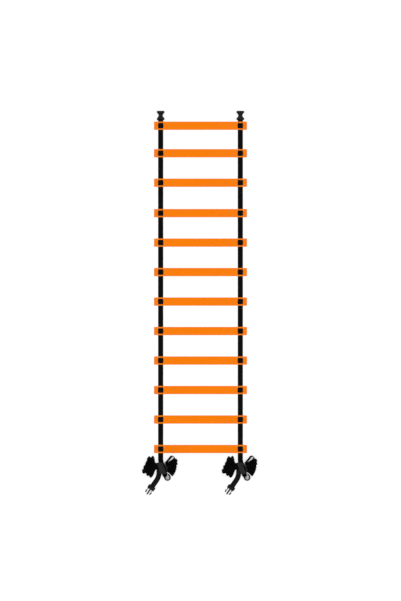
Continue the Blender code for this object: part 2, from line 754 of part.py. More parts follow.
def wrap_path():
    """Two turns round the waist, the inner one first, leaving along the ground as the tail."""
    clear = WEB_THICK + WRAP_CLEAR
    layer = WEB_THICK + TURN_GAP
    inner_top = strand_ends(LAST_STRAND - 1)[0][1] + clear
    inner_low = strand_ends(0)[1][1] - clear
    outer_top = inner_top + layer
    outer_low = inner_low - layer
    tops = (inner_top, outer_top)
    corners = [
        (WRAP_LOW_X, inner_low, STRAND_BASE + WRAP_START),
        (WRAP_LOW_X, inner_low, INNER_HIGH),
        (WRAP_TOP_X, tops[0], INNER_HIGH),
        (WRAP_TOP_X, tops[0], INNER_LOW),
        (WRAP_LOW_X, outer_low, INNER_LOW),
        (WRAP_LOW_X, outer_low, OUTER_HIGH),
        (WRAP_TOP_X, tops[1], OUTER_HIGH),
        (WRAP_TOP_X, tops[1], OUTER_LOW),
        (TAIL_START[0], TAIL_START[1] + JOIN_GAP, OUTER_LOW),
    ]
    points = rounded_path(corners, WRAP_CORNER, CORNER_STEPS)
    slant = math.atan2(WRAP_LOW_X - WRAP_TOP_X, inner_top - inner_low)
    sides = [ACROSS * WEB_WIDTH / 2 / math.cos(slant)] * (len(points) - 1)
    return points, sides + [ACROSS * WEB_WIDTH / 2]


def tail_path():
    """From the wrap, down to the ground and on to the plug's bar, round it and back on top."""
    heading = np.array((-math.sin(PLUG_YAW), math.cos(PLUG_YAW)))
    bar = np.array(PLUG_PLACE)
    straight = bar - heading * TAIL_STRAIGHT
    start = np.array(TAIL_START)
    pull = TAIL_PULL_SHARE * np.linalg.norm(straight - start)
    leave = start + unit(np.array(TAIL_LEAN)) * pull
    bend = [start] + cubic(start, leave, straight - heading * pull, straight, TAIL_STEPS)
    points = []
    for i, place in enumerate(bend):
        fall = ease(2 * i / TAIL_STEPS)
        points.append(np.append(place, OUTER_LOW + (GROUND_LEVEL - OUTER_LOW) * fall))
    rise = BAR_HEIGHT - ROLL_RADIUS
    near = 2 * ROLL_RADIUS
    side = [(-2 * near, GROUND_LEVEL)]
    side += roll(False)
    upper = GROUND_LEVEL + WEB_THICK + TURN_GAP
    side += [(-near, (BAR_HEIGHT + ROLL_RADIUS + upper) / 2), (-2 * near, upper + rise / 2)]
    side += [(-3 * near, upper), (-TAIL_FOLD, upper)]
    for along, height in side:
        points.append(np.append(bar + heading * along, height))
    flat = [np.append(quarter_turn(run[:2]), 0) for run in directions(np.array(points))]
    square = np.append(quarter_turn(heading), 0)
    widths = [unit(width) for width in flat[: len(bend)]] + [square] * len(side)
    return points, [ACROSS * WEB_WIDTH / 2] + square_sides(points, widths)[1:]


def report_band(label, points, sides):
    gap = least_gap(points, sides)
    near = f"{gap * 1000:.2f} mm" if gap < GAP_SEARCH else "none in reach"
    print(f"{label}: {lengths_along(points)[-1]:.3f} m of webbing, least gap to itself {near}")


def main():
    clear_scene()

    rung = rung_mesh()
    for number in range(1, RUNG_COUNT + 1):
        add_object(f"rung_{number:02d}", rung.copy(), ORANGE, 0.3, (0, rung_y(number), 0))

    socket = socket_mesh()
    plug = plug_mesh()
    hank = hank_path()
    wrap = wrap_path()
    tail = tail_path()
    report_band("hank", *hank)
    report_band("wrap", *wrap)
    report_band("tail", *tail)
    last_rung = rung_y(RUNG_COUNT)

    for side, strap_x in (("left", -STRAP_SPACING / 2), ("right", STRAP_SPACING / 2)):
        head = head_strap_path()
        mesh = webbing(head, square_sides(head, [ACROSS] * len(head)), "strap")
        add_object(f"{side}_strap_01", mesh, WEB_BLACK, 0.8, (strap_x, 0, 0))
        for number in range(2, RUNG_COUNT + 1):
            high = crease_y(number - 1) - JOIN_GAP / 2
            if number < RUNG_COUNT:
                low = crease_y(number) + JOIN_GAP / 2
            else:
                low = last_rung - HANK_CREASE + JOIN_GAP / 2
            mesh = strap_segment(low, high)
            add_object(f"{side}_strap_{number:02d}", mesh, WEB_BLACK, 0.8, (strap_x, 0, 0))

        add_object(f"{side}_socket", socket.copy(), BUCKLE_BLACK, 0.4, (strap_x, SOCKET_BAR, 0))
        place = (strap_x, last_rung, 0)
        add_object(f"{side}_hank", webbing(*hank, "hank"), WEB_BLACK, 0.8, place)
        add_object(f"{side}_wrap", webbing(*wrap, "wrap"), WEB_BLACK, 0.8, place)
        add_object(f"{side}_tail", webbing(*tail, "tail"), WEB_BLACK, 0.8, place)

        bar = Vector((strap_x + PLUG_PLACE[0], last_rung + PLUG_PLACE[1], 0))
        add_object(f"{side}_plug", plug.copy(), BUCKLE_BLACK, 0.4, bar, PLUG_YAW)
        heading = Vector((-math.sin(PLUG_YAW), math.cos(PLUG_YAW), 0))
        beside = Vector((math.cos(PLUG_YAW), math.sin(PLUG_YAW), 0))
        for arm, way in (("left", -1), ("right", 1)):
            pivot = bar + heading * (COLLAR_FRONT - KNUCKLE_SET) + beside * way * ARM_SPREAD
            add_object(f"{side}_plug_{arm}_arm", arm_mesh(way), BUCKLE_BLACK, 0.4, pivot, PLUG_YAW)


main()
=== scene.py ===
"""Looks of the agility ladder: moulded slats, woven webbing, side-release buckle halves and the
spare webbing in its two hanks. Metres, +Z up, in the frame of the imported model."""

import math

import bmesh
import bpy
import numpy as np
from mathutils import Matrix, Vector


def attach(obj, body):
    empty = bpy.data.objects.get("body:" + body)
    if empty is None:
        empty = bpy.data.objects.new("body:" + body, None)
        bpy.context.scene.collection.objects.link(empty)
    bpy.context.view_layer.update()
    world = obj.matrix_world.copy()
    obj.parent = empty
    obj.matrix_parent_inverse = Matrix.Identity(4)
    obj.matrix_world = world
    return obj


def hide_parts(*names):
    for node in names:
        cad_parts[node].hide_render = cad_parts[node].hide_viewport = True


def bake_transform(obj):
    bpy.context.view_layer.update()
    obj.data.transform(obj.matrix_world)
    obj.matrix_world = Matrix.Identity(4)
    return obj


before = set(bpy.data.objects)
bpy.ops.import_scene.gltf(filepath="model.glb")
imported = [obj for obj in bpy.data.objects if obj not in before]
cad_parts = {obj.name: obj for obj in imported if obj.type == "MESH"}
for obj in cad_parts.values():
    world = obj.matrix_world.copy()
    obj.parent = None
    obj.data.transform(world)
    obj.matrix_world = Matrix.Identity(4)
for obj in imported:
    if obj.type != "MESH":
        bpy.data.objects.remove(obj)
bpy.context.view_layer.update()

# Clearances
RUN_GAP = 0.0003
JOIN_GAP = 0.0003
TURN_GAP = 0.0005
FLOOR_GAP = 0.0002
OVERRUN = 0.002

# Webbing
WEB_WIDTH = 0.024
WEB_THICK = 0.001
WEB_EDGE_POINTS = 5  # round each edge of its cross-section

# Slats
RUNG_COUNT = 12
RUNG_LENGTH = 0.432
RUNG_WIDTH = 0.038
RUNG_THICK = 0.004
RUNG_CORNER = 0.0025
RUNG_EDGE = 0.0007
RUNG_PITCH = 0.1371
BAY_SHARES = (0.933, 1, 1.031) + (1,) * (RUNG_COUNT - 4)
STRAP_INSET = 0.0308
CHANNEL_PLAY = 0.0015
BRIDGE_WIDTH = 0.018
BRIDGE_THICK = 0.0011
SLOT_WIDTH = 0.004
CUT_EDGE = 0.0003
CUT_ANGLE = math.radians(50)  # edges sharper than this are rounded off

# Creases
LAST_CREASE_SHIFT = 0.006
HANK_CREASE = 0.030
CREASE_REACH = 0.0042
CREASE_MARGIN = 0.001  # how far the close stations go on past the bend
CREASE_STEPS = 14
RUN_STEP = 0.006

# Socket halves
BAR_RADIUS = 0.0014
BAR_HEIGHT = 0.0032
SOCKET_BAR = 0.028
SOCKET_END = 0.0023
SOCKET_LENGTH = 0.0433
SOCKET_RAIL = 0.0053
SOCKET_WAIST = 0.0192
SOCKET_THICK = 0.0088
SOCKET_EDGE = 0.0013
SOCKET_CORNER = 0.0052
SHOULDER_SHARE = 0.674
FLARE_POWER_SHARE = 1.7
SIDE_STEPS = 16
CORNER_STEPS = 6
SLOT_LENGTH = 0.0048
SLOT_ROOM = 0.0007
SLOT_PLAY = 0.0013
MOUTH_WIDTH = 0.0276
MOUTH_HEIGHT = 0.005
MOUTH_DEPTH = 0.0305
GRIP_LENGTH = 0.009
GRIP_WIDTH = 0.0009
GRIP_CORNER = GRIP_WIDTH / 2.1  # just under half, so that the groove keeps a short flat end
GRIP_DEPTH = 0.0005
GRIP_COUNT = 4
GRIP_PITCH = 0.0022
FOLD_BACK = 0.018
BUCKLE_CUT_EDGE = 0.00025

# Plug halves
PLUG_RAIL = 0.0047
PLUG_THICK = 0.0076
PLUG_CORNER = 0.0045
PLUG_EDGE = 0.0009
PLUG_END = 0.003
PLUG_COLLAR = 0.0136
PRONG_THICK = 0.0044
GUIDE_LENGTH = 0.0275
GUIDE_ROOT = 0.0070
GUIDE_TIP = 0.0070
ARM_LENGTH = 0.0245
ARM_SPREAD = 0.0110
KNUCKLE_RADIUS = 0.0026
KNUCKLE_SET = 0.0006
ARM_SHARES = (  # of the knuckle's radius across, and of the arm's length along
    (0.65, 0.25), (0.65, 0.42), (1.85, 0.48), (2.05, 0.56), (1.0, 0.93),
    (0.2, 1), (-0.6, 0.96), (-0.75, 0.7), (-0.3, 0.4),
)
KNUCKLE_START = math.radians(153)
KNUCKLE_TURN = math.radians(234)
ROUND_STEPS = 32
PLUG_YAW = math.radians(145)
PLUG_PLACE = (-0.0390, -0.1742)

# Hank, from the strap's centre line and the last slat's centre
LAST_STRAND = 16
WAIST_LEFT = (-0.017, -0.0645)
WAIST_RIGHT = (0.015, -0.0670)
WAIST_RIGHT_SPREAD = 0.012
LEFT_STEP = 0.00175
RIGHT_STEP = 0.00276
HANK_END = 0.012
STRAND_STEPS = 4
CURVE_STEPS = 40
TIP_STEPS = 4
WAIST_PULL_SHARE = 0.42
LEG_START_SHARE = 0.36
LEG_END_SHARE = 0.5
LEFT_CENTRE = (-0.002, -0.084)
RIGHT_CENTRE = (0.006, -0.096)
REACH = 0.070
LOOP_WIDTH_SHARE = 0.5
DESCENT = 0.030
FAN_LEAN = math.radians(25)
LEFT_HUB = (0.005, -0.080)
RIGHT_HUB = (0.000, -0.097)
LEFT_STILL = 0.022
RIGHT_STILL = 0.019
LEAN_RUN = 0.038
RING_SHARES = (-0.05, 0.15, 0.35, 0.55, 0.75, 1, 1.3)
RING_CLEAR = 0.002
LEFT_FIRST = math.radians(216)
LEFT_TURN = math.radians(-13)
LEFT_REACH_SHARES = (0.94, 1.03, 1.225, 1.11, 1.02, 1, 1.05, 0.9)
RIGHT_FIRST = math.radians(-30)
RIGHT_TURN = math.radians(10)
RIGHT_REACH_SHARES = (0.845, 0.87, 0.91, 0.955, 1, 1.11, 1.2, 1.17)
OPEN_LOOP_SHARE = 2.5
OPEN_LOOP_TURN = math.radians(4)
LEAD_ROUTE = (
    (0.0000, -0.0380), (0.0000, -0.0500), (0.0028, -0.0650), (0.0078, -0.0820),
    (0.0132, -0.0990), (0.0170, -0.1120), (0.0183, -0.1200), (0.0182, -0.1290),
    (0.0214, -0.1395), (0.0310, -0.1450), (0.0408, -0.1415), (0.0440, -0.1330),
    (0.0408, -0.1235), (0.0345, -0.1160),
)
LEAD_STEPS = 2
LEAD_DROP = 0.016
TWIST_FROM = 0.090
TWIST_RUN = 0.018
LEAD_LEAN = math.radians(14)  # how far the lead still leans once it has turned up
LEAD_RISE = 0.020
LEAD_HAND_OVER = 0.012  # along the lead, where the last strap piece ends and the hank begins

# Wrap and tail
WRAP_TOP_X = -0.0045
WRAP_LOW_X = 0.014
WRAP_CORNER = 0.003
WRAP_CLEAR = 0.0008
WRAP_START = 0.004
TAIL_START = (-0.0078, -0.1162)
TAIL_LEAN = (-0.18, -0.984)
TAIL_STRAIGHT = 0.030
TAIL_FOLD = 0.022
TAIL_STEPS = 7
TAIL_PULL_SHARE = 0.4
TAIL_BEND = 0.012
ROLL_STEPS = 8

# Levels
STRAP_BASE = BRIDGE_THICK + RUN_GAP
STRAP_MIDDLE = STRAP_BASE + WEB_THICK / 2
LIP_BASE = STRAP_BASE + WEB_THICK + RUN_GAP
GROUND_LEVEL = FLOOR_GAP + WEB_THICK / 2
OUTER_LOW = GROUND_LEVEL + WEB_THICK + RUN_GAP
INNER_LOW = OUTER_LOW + WEB_THICK + TURN_GAP
STRAND_BASE = INNER_LOW + WEB_THICK / 2 + WRAP_CLEAR
INNER_HIGH = STRAND_BASE + WEB_WIDTH + WRAP_CLEAR + WEB_THICK / 2
OUTER_HIGH = INNER_HIGH + WEB_THICK + TURN_GAP
ROLL_RADIUS = BAR_RADIUS + RUN_GAP + WEB_THICK / 2
CHANNEL_HALF = WEB_WIDTH / 2 + CHANNEL_PLAY
SLOT_OUT = BRIDGE_WIDTH / 2 + SLOT_WIDTH
SLOT_HALF = WEB_WIDTH / 2 + SLOT_PLAY
STRAP_SPACING = RUNG_LENGTH - 2 * STRAP_INSET
COLLAR_FRONT = BAR_RADIUS + SLOT_LENGTH - RUN_GAP + PLUG_COLLAR - PLUG_END

# Stitching
STITCH_RADIUS = 0.00022
STITCH_EDGE = 0.55 * STITCH_RADIUS
STITCH_PITCH = 0.00085
TACK_DEPTH = 0.0017
TACK_HALF = 0.0098
HEAD_TACK_SHARES = (0.3, 0.62)  # of the way from the first slat's edge to the socket's bar
TAIL_TACKS = (0.0028, 0.0075)  # before the end of the sewn fold
CROWN = 1.06  # how much thicker webbing is along its middle

# Weave
RIB_PITCH = 0.0016
PICK_PITCH = 0.0012
CORD_PITCH = 0.0009
SELVEDGE_FROM = 0.0109  # from the webbing's middle

# Colours: the darkest and lightest of each surface, and where it is scuffed or worn
ORANGE = ((0.935, 0.198, 0.0), (0.97, 0.214, 0.0))
ORANGE_SCUFFED = (1.0, 0.36, 0.07)
ORANGE_WORN = (1.0, 0.42, 0.13)
STRAP_BLACK = ((0.0008, 0.0008, 0.0009), (0.0045, 0.0045, 0.0047))
# the wrap's webbing is the strap's webbing drawn lighter: painted sheen
WRAP_BLACK_WITH_PAINTED_SHEEN = ((0.010, 0.010, 0.0105), (0.032, 0.032, 0.033))
# the tail's webbing is the strap's webbing drawn lighter: painted sheen
TAIL_BLACK_WITH_PAINTED_SHEEN = ((0.003, 0.003, 0.0032), (0.013, 0.013, 0.0135))
BUCKLE_BLACK = ((0.0035, 0.0035, 0.0037), (0.007, 0.007, 0.0073))
BUCKLE_WORN = (0.035, 0.035, 0.036)
THREAD_BLACK = ((0.008, 0.008, 0.0084), (0.02, 0.02, 0.021))
TONE_ENDS = (0.3, 0.7)  # shares of a noise at which the two colours stand

# Stage
FLOOR_REACH = 20.0
FLOOR_LEVEL = -0.0003
PAPER_GREY = 0.33
PAPER_GLOW = 0.72
CREVICE_SHADE_REACH = 0.03  # how near the floor a piece cuts its glow, as painted shade
CREVICE_SHADE_FROM = 0.10
CREVICE_SHADE_GAIN = 8.0
BELOW_REACH = 0.8  # how far below the floor a folded bay is looked for
BELOW_RAYS = 96
BELOW_GAIN = 200.0
SKY_LIGHT = 0.45
LAMP_PLACE = (0, -0.8, 3)
LAMPS = (  # tilt and turn in degrees, share of the light on the floor, width in degrees
    ("key_lamp", 38, 130, 0.33, 55),
    ("fill_lamp", 48, -55, 0.22, 70),
)
CAMERA_HEIGHT = 12.0
CAMERA_Y = -0.8127
FRAME_HEIGHT = 2.795  # how much of the floor the picture shows along Y
SENSOR = 36.0
FAR_CLIP = 100.0

# Directions
UP = np.array((0.0, 0.0, 1.0))
ACROSS = np.array((1.0, 0.0, 0.0))
PLUG_AHEAD = np.array((-math.sin(PLUG_YAW), math.cos(PLUG_YAW), 0.0))
PLUG_BESIDE = np.array((math.cos(PLUG_YAW), math.sin(PLUG_YAW), 0.0))


# ---------------------------------------------------------------- finishes

class Value:
    """A number in a shader. Sums and products of these add their Math nodes."""

    def __init__(self, shading, socket):
        self.shading = shading
        self.socket = socket

    def __add__(self, other):
        return self.shading.maths("ADD", self, other)

    def __sub__(self, other):
        return self.shading.maths("SUBTRACT", self, other)

    def __rsub__(self, other):
        return self.shading.maths("SUBTRACT", other, self)

    def __mul__(self, other):
        return self.shading.maths("MULTIPLY", self, other)

    def __pow__(self, other):
        return self.shading.maths("POWER", self, other)

    __radd__ = __add__
    __rmul__ = __mul__


def opaque(colour):
    return colour if isinstance(colour, Value) else (*colour, 1)


class Shading:
    """The nodes of a material or of the world, and the shader that they feed."""

    def __init__(self, tree, shader):
        self.tree = tree
        self.shader = tree.nodes[shader]

    def node(self, kind, settings=None, sockets=None, out=0):
        made = self.tree.nodes.new(kind)
        for key, value in (settings or {}).items():
            if key == "stops":
                for stop, (place, colour) in zip(made.color_ramp.elements, value):
                    stop.position = place
                    stop.color = opaque(colour)
            else:
                setattr(made, key, value)
        for key, value in (sockets or {}).items():
            if isinstance(value, Value):
                self.tree.links.new(value.socket, made.inputs[key])
            else:
                made.inputs[key].default_value = value
        return Value(self, made.outputs[out])

    def feed(self, socket, value):
        self.tree.links.new(value.socket, self.shader.inputs[socket])

    def maths(self, operation, *values, clamped=False):
        settings = {"operation": operation, "use_clamp": clamped}
        return self.node("ShaderNodeMath", settings, dict(enumerate(values)))

    def clamp(self, value):
        return self.maths("ADD", value, 0.0, clamped=True)

    def above(self, value, start, gain):
        """0 where value lies below start, and from there up to 1 by gain."""
        return self.clamp((value - start) * gain)

    def reading(self, name):
        return self.node("ShaderNodeAttribute", {"attribute_name": name}, out=2)

    def place(self):
        return self.node("ShaderNodeTexCoord", out=3)

    def stretched(self, scale):
        return self.node("ShaderNodeMapping", None, {0: self.place(), 3: scale})

    def noise(self, place, scale, detail=3.0, rough=0.55):
        return self.node(
            "ShaderNodeTexNoise", None,
            {"Vector": place, "Scale": scale, "Detail": detail, "Roughness": rough},
        )

    def between(self, share, low, high):
        """A number that goes from low to high with share."""
        return share * (high - low) + low

    def colours(self, share, pair):
        return self.node("ShaderNodeValToRGB", {"stops": zip(TONE_ENDS, pair)}, {0: share})

    def mixed(self, share, first, second):
        return self.node(
            "ShaderNodeMix", {"data_type": "RGBA"},
            {0: share, 6: opaque(first), 7: opaque(second)}, out=2,
        )

    def relief(self, height, depth, strength=1.0):
        bump = self.node(
            "ShaderNodeBump", None, {"Strength": strength, "Distance": depth, "Height": height}
        )
        self.feed("Normal", bump)


class Finish(Shading):
    """One material."""

    def __init__(self, name, fixed):
        self.material = bpy.data.materials.new(name)
        self.material.use_nodes = True
        super().__init__(self.material.node_tree, "Principled BSDF")
        for socket, value in fixed.items():
            self.shader.inputs[socket].default_value = value


def orange_plastic():
    finish = Finish("orange_slat_plastic", {"IOR": 1.46, "Specular IOR Level": 0.06})
    place = finish.place()
    flow = finish.noise(finish.stretched((3.0, 22.0, 22.0)), scale=1.0, detail=2.0)
    grain = finish.noise(place, scale=2600.0, detail=2.0)
    drawn_out = finish.stretched((40.0, 900.0, 200.0))
    scuffs = finish.noise(drawn_out, scale=1.0, detail=4.0, rough=0.6)
    scuff = finish.above(scuffs, start=0.60, gain=6.0)
    patches = finish.noise(place, scale=90.0, detail=4.0)
    rubbed = finish.above(patches, start=0.36, gain=3.2)
    worn = finish.clamp(finish.reading("edge") * rubbed)
    scuffed = finish.mixed(scuff * 0.06, finish.colours(flow, ORANGE), ORANGE_SCUFFED)
    finish.feed("Base Color", finish.mixed(worn * 0.35, scuffed, ORANGE_WORN))
    rough = finish.between(finish.noise(place, scale=55.0), low=0.27, high=0.43)
    finish.feed("Roughness", finish.clamp(rough + scuff * 0.14 + worn * 0.12))
    finish.relief(grain * 0.2 + flow * 1.6 - scuff * 0.35, depth=0.00006)
    return finish.material


def black_webbing(name, tones):
    """Woven webbing: chevron ribs that run along it, a corded selvedge, and a little fuzz. Its
    colour carries painted shade, darker in the weave's grooves and lighter on its crowns.
    """
    finish = Finish(name, {
        "IOR": 1.45, "Specular IOR Level": 0.03,
        "Sheen Weight": 0.01, "Sheen Roughness": 0.45,
    })
    across = finish.reading("across")
    along = finish.reading("along")
    fold = finish.maths("PINGPONG", across, RIB_PITCH)
    rib = finish.maths("SINE", fold * (math.pi / RIB_PITCH))
    pick = finish.maths("SINE", (along + fold * 0.9) * (2 * math.pi / PICK_PITCH)) * 0.5 + 0.5
    body = rib ** 0.5 * (pick * 0.5 + 0.5)
    cord = finish.maths("SINE", along * (2 * math.pi / CORD_PITCH)) * 0.35 + 0.65
    at_edge = finish.above(finish.maths("ABSOLUTE", across), SELVEDGE_FROM, gain=4000.0)
    weave = body * (1 - at_edge) + cord * at_edge
    place = finish.place()
    fuzz = finish.noise(place, scale=1400.0, rough=0.7)
    tone = finish.noise(place, scale=16.0)
    # painted shade: the weave's grooves darker and its crowns lighter, mixed with fuzz and a
    # random tone
    brightness_with_painted_shade = finish.clamp(weave * 0.55 + fuzz * 0.25 + tone * 0.3 - 0.08)
    rubbed = finish.clamp(at_edge * (tone - 0.42) * 2.5)
    paler = tuple(1.7 * part for part in tones[1])
    finish.feed("Base Color", finish.mixed(rubbed * 0.5, finish.mixed(brightness_with_painted_shade, *tones), paler))
    finish.feed("Roughness", finish.between(fuzz, low=0.56, high=0.8))
    finish.relief(weave + fuzz * 0.3, depth=0.00016, strength=0.9)
    return finish.material


def black_plastic():
    finish = Finish("black_buckle_plastic", {"IOR": 1.5, "Specular IOR Level": 0.1})
    place = finish.place()
    grain = finish.noise(place, scale=2400.0, detail=2.0)
    soft = finish.noise(place, scale=120.0)
    patches = finish.noise(place, scale=260.0, detail=4.0)
    rubbed = finish.above(patches, start=0.34, gain=3.0)
    worn = finish.clamp(finish.reading("edge") * rubbed)
    body = finish.colours(soft, BUCKLE_BLACK)
    finish.feed("Base Color", finish.mixed(worn * 0.6, body, BUCKLE_WORN))
    rough = finish.between(soft, low=0.30, high=0.44)
    finish.feed("Roughness", finish.clamp(rough - worn * 0.06))
    finish.relief(grain * 0.6 + soft * 0.8, depth=0.00005)
    return finish.material


def thread():
    finish = Finish("black_thread", {"Specular IOR Level": 0.1, "Sheen Weight": 0.02})
    twist = finish.noise(finish.place(), scale=5200.0, detail=2.0)
    finish.feed("Base Color", finish.colours(twist, THREAD_BLACK))
    finish.feed("Roughness", finish.between(twist, low=0.4, high=0.6))
    finish.relief(twist, depth=0.00004)
    return finish.material


SLAT_FINISH = orange_plastic()
WEB_FINISH = black_webbing("black_strap_webbing", STRAP_BLACK)
WRAP_FINISH_WITH_PAINTED_SHEEN = black_webbing("black_wrap_webbing_painted_sheen", WRAP_BLACK_WITH_PAINTED_SHEEN)
TAIL_FINISH_WITH_PAINTED_SHEEN = black_webbing("black_tail_webbing_painted_sheen", TAIL_BLACK_WITH_PAINTED_SHEEN)
BUCKLE_FINISH = black_plastic()
THREAD_FINISH = thread()


# ---------------------------------------------------------------- shapes

def unit(vector):
    return vector / np.linalg.norm(vector)


def units(vectors):
    return vectors / np.linalg.norm(vectors, axis=1, keepdims=True)


def ease(t):
    t = min(max(t, 0), 1)
    return t * t * (3 - 2 * t)


def quarter_turn(direction):
    return np.array((-direction[1], direction[0]))


def rung_y(number):
    """Slats are numbered from 1, at the socket end."""
    return -RUNG_PITCH * sum(BAY_SHARES[: number - 1])


def crease_y(number):
    middle = (rung_y(number) + rung_y(number + 1)) / 2
    return middle + LAST_CREASE_SHIFT if number == RUNG_COUNT - 1 else middle


LAST_RUNG = rung_y(RUNG_COUNT)


def put_in_scene(name, mesh, finish, place=(0, 0, 0), yaw=0.0):
    """A piece from a copy of the mesh: its object sits at the origin, its place is in the copy."""
    mesh = mesh.copy()
    mesh.transform(Matrix.Translation(place) @ Matrix.Rotation(yaw, 4, "Z"))
    mesh.materials.append(finish)
    made = bpy.data.objects.new(name, mesh)
    bpy.context.scene.collection.objects.link(made)
    return made


def smooth(mesh, degrees=35):
    mesh.shade_smooth()
    mesh.set_sharp_from_angle(angle=math.radians(degrees))


def finish_mesh(shape, name):
    bmesh.ops.recalc_face_normals(shape, faces=shape.faces)
    mesh = bpy.data.meshes.new(name)
    shape.to_mesh(mesh)
    shape.free()
    return mesh


def extruded(ring, axis, reach):
    """A closed solid grown from a flat ring until its far side lies at reach along the axis."""
    shape = bmesh.new()
    face = shape.faces.new([shape.verts.new(place) for place in ring])
    grown = bmesh.ops.extrude_face_region(shape, geom=[face])
    for item in grown["geom"]:
        if isinstance(item, bmesh.types.BMVert):
            item.co[axis] = reach
    return shape


def prism(outline, low, high, edge=0.0, name="prism", segments=4):
    """A closed solid over an outline in plan, with its two rims rounded off by edge."""
    shape = extruded([(x, y, low) for x, y in outline], 2, high)
    if edge:
        level = (high - low) / 2
        rims = [e for e in shape.edges if abs(e.verts[0].co.z - e.verts[1].co.z) < level]
        bmesh.ops.bevel(
            shape, geom=rims, offset=edge, segments=segments, profile=0.5,
            affect="EDGES", material=-1,
        )
    return finish_mesh(shape, name)


def arc(centre, radius, start, turn, steps):
    return [
        (
            centre[0] + radius * math.cos(start + turn * i / steps),
            centre[1] + radius * math.sin(start + turn * i / steps),
        )
        for i in range(steps + 1)
    ]


def rounded_rectangle(x_low, x_high, y_low, y_high, radius, steps=6):
    quarter = math.pi / 2
    inset = (x_low + radius, x_high - radius, y_low + radius, y_high - radius)
    centres = rectangle(*inset)
    points = []
    for i, centre in enumerate(centres[1:] + centres[:1]):
        points += arc(centre, radius, quarter * (i - 1), quarter, steps)
    return points


def rectangle(x_low, x_high, y_low, y_high):
    return [(x_low, y_low), (x_high, y_low), (x_high, y_high), (x_low, y_high)]


def bar_mesh(half):
    """The round bar of a buckle half, which the webbing goes over."""
    ring = arc((0, BAR_HEIGHT), BAR_RADIUS, 0, 2 * math.pi, ROUND_STEPS)[:-1]
    return finish_mesh(extruded([(-half, y, z) for y, z in ring], 0, half), "bar")


def carved(mesh, cuts, joins, cut_edge, name):
    """A moulding: the mesh less its cuts, then with its joins, and all sharp edges rounded off."""
    base = bpy.data.objects.new("base", mesh)
    bpy.context.scene.collection.objects.link(base)
    helpers = []
    steps = [("DIFFERENCE", cut) for cut in cuts] + [("UNION", join) for join in joins]
    for operation, tool_mesh in steps:
        tool = bpy.data.objects.new("tool", tool_mesh)
        bpy.context.scene.collection.objects.link(tool)
        helpers.append(tool)
        step = base.modifiers.new(operation.lower(), "BOOLEAN")
        step.operation = operation
        step.object = tool
        step.solver = "EXACT"
    rounding = base.modifiers.new("rounding", "BEVEL")
    rounding.width = cut_edge
    rounding.segments = 2
    rounding.limit_method = "ANGLE"
    rounding.angle_limit = CUT_ANGLE
    bpy.context.view_layer.update()
    graph = bpy.context.evaluated_depsgraph_get()
    made = bpy.data.meshes.new_from_object(base.evaluated_get(graph))
    made.name = name
    for item in [base] + helpers:
        bpy.data.objects.remove(item, do_unlink=True)
    return moulded(made)


def moulded(mesh):
    """The mesh, smooth, with how far each place is turned from its flat faces noted for wear."""
    smooth(mesh)
    reading = mesh.attributes.new("edge", "FLOAT", "POINT")
    halfway = 1 - math.sqrt(0.5)
    turned = [(1 - max(abs(c) for c in vert.normal)) / halfway for vert in mesh.vertices]
    reading.data.foreach_set("value", np.clip(np.array(turned, np.float32), 0, 1))
    return mesh


# ---------------------------------------------------------------- webbing

def directions(points):
    """The way a path runs at each of its points."""
    ahead = np.vstack([points[1:] - points[:-1], points[-1:] - points[-2:-1]])
    behind = np.vstack([ahead[:1], ahead[:-1]])
    return units(units(ahead) + units(behind))


def lengths_along(points):
    steps = np.linalg.norm(np.diff(np.array(points), axis=0), axis=1)
    return np.concatenate([[0], np.cumsum(steps)])


def web_section():
    """The webbing's cross-section, in shares of its half width and half thickness."""
    rounding = WEB_THICK / WEB_WIDTH
    quarter = math.pi / 2
    end = [
        (1 - rounding + rounding * math.cos(a), math.sin(a))
        for a in np.linspace(-quarter, quarter, WEB_EDGE_POINTS)
    ]
    return end + [(0.0, CROWN)] + [(-x, y) for x, y in reversed(end)] + [(0.0, -CROWN)]


def webbing(points, sides, name, start_along=0.0, lead_in=0, lead_out=0):
    """A woven band through points, reaching sides to either side, extruded from its section.

    Its first lead_in and last lead_out points only steer its ends, so that they meet another's.
    """
    points = np.array(points)
    along = lengths_along(points) + start_along
    rows = list(zip(points, directions(points), sides, along))
    section = web_section()
    shape = bmesh.new()
    across_layer = shape.verts.layers.float.new("across")
    along_layer = shape.verts.layers.float.new("along")
    face = None
    for point, run, side, gone in rows[lead_in : len(rows) - lead_out]:
        thick = unit(np.cross(run, side)) * WEB_THICK / 2
        ring = [point + side * x + thick * y for x, y in section]
        if face is None:
            face = first = shape.faces.new([shape.verts.new(place) for place in ring])
        else:
            grown = bmesh.ops.extrude_face_region(shape, geom=[face])
            if face is not first:
                bmesh.ops.delete(shape, geom=[face], context="FACES_ONLY")
            face = next(item for item in grown["geom"] if isinstance(item, bmesh.types.BMFace))
        for vert, place, (x, _) in zip(face.verts, ring, section):
            vert.co = place
            vert[across_layer] = x * WEB_WIDTH / 2
            vert[along_layer] = gone
    mesh = finish_mesh(shape, name)
    smooth(mesh, degrees=50)
    return mesh


def finer(rows, along, steps):
    """A smooth curve through all rows, which lie along it at the given lengths."""
    rows = np.array(rows, float)
    gaps = np.diff(along)[:, None]
    slopes = np.diff(rows, axis=0) / gaps
    inner = (slopes[:-1] * gaps[1:] + slopes[1:] * gaps[:-1]) / (gaps[:-1] + gaps[1:])
    pulls = np.vstack([slopes[:1], inner, slopes[-1:]])
    made = [rows[0]]
    for a, b, pull_a, pull_b, gap in zip(rows, rows[1:], pulls, pulls[1:], gaps):
        for i in range(1, steps + 1):
            t = i / steps
            swing = t**3 - 2 * t**2 + t
            land = t**3 - t**2
            share = 3 * t**2 - 2 * t**3
            made.append(a * (1 - share) + b * share + (pull_a * swing + pull_b * land) * gap)
    return np.array(made)


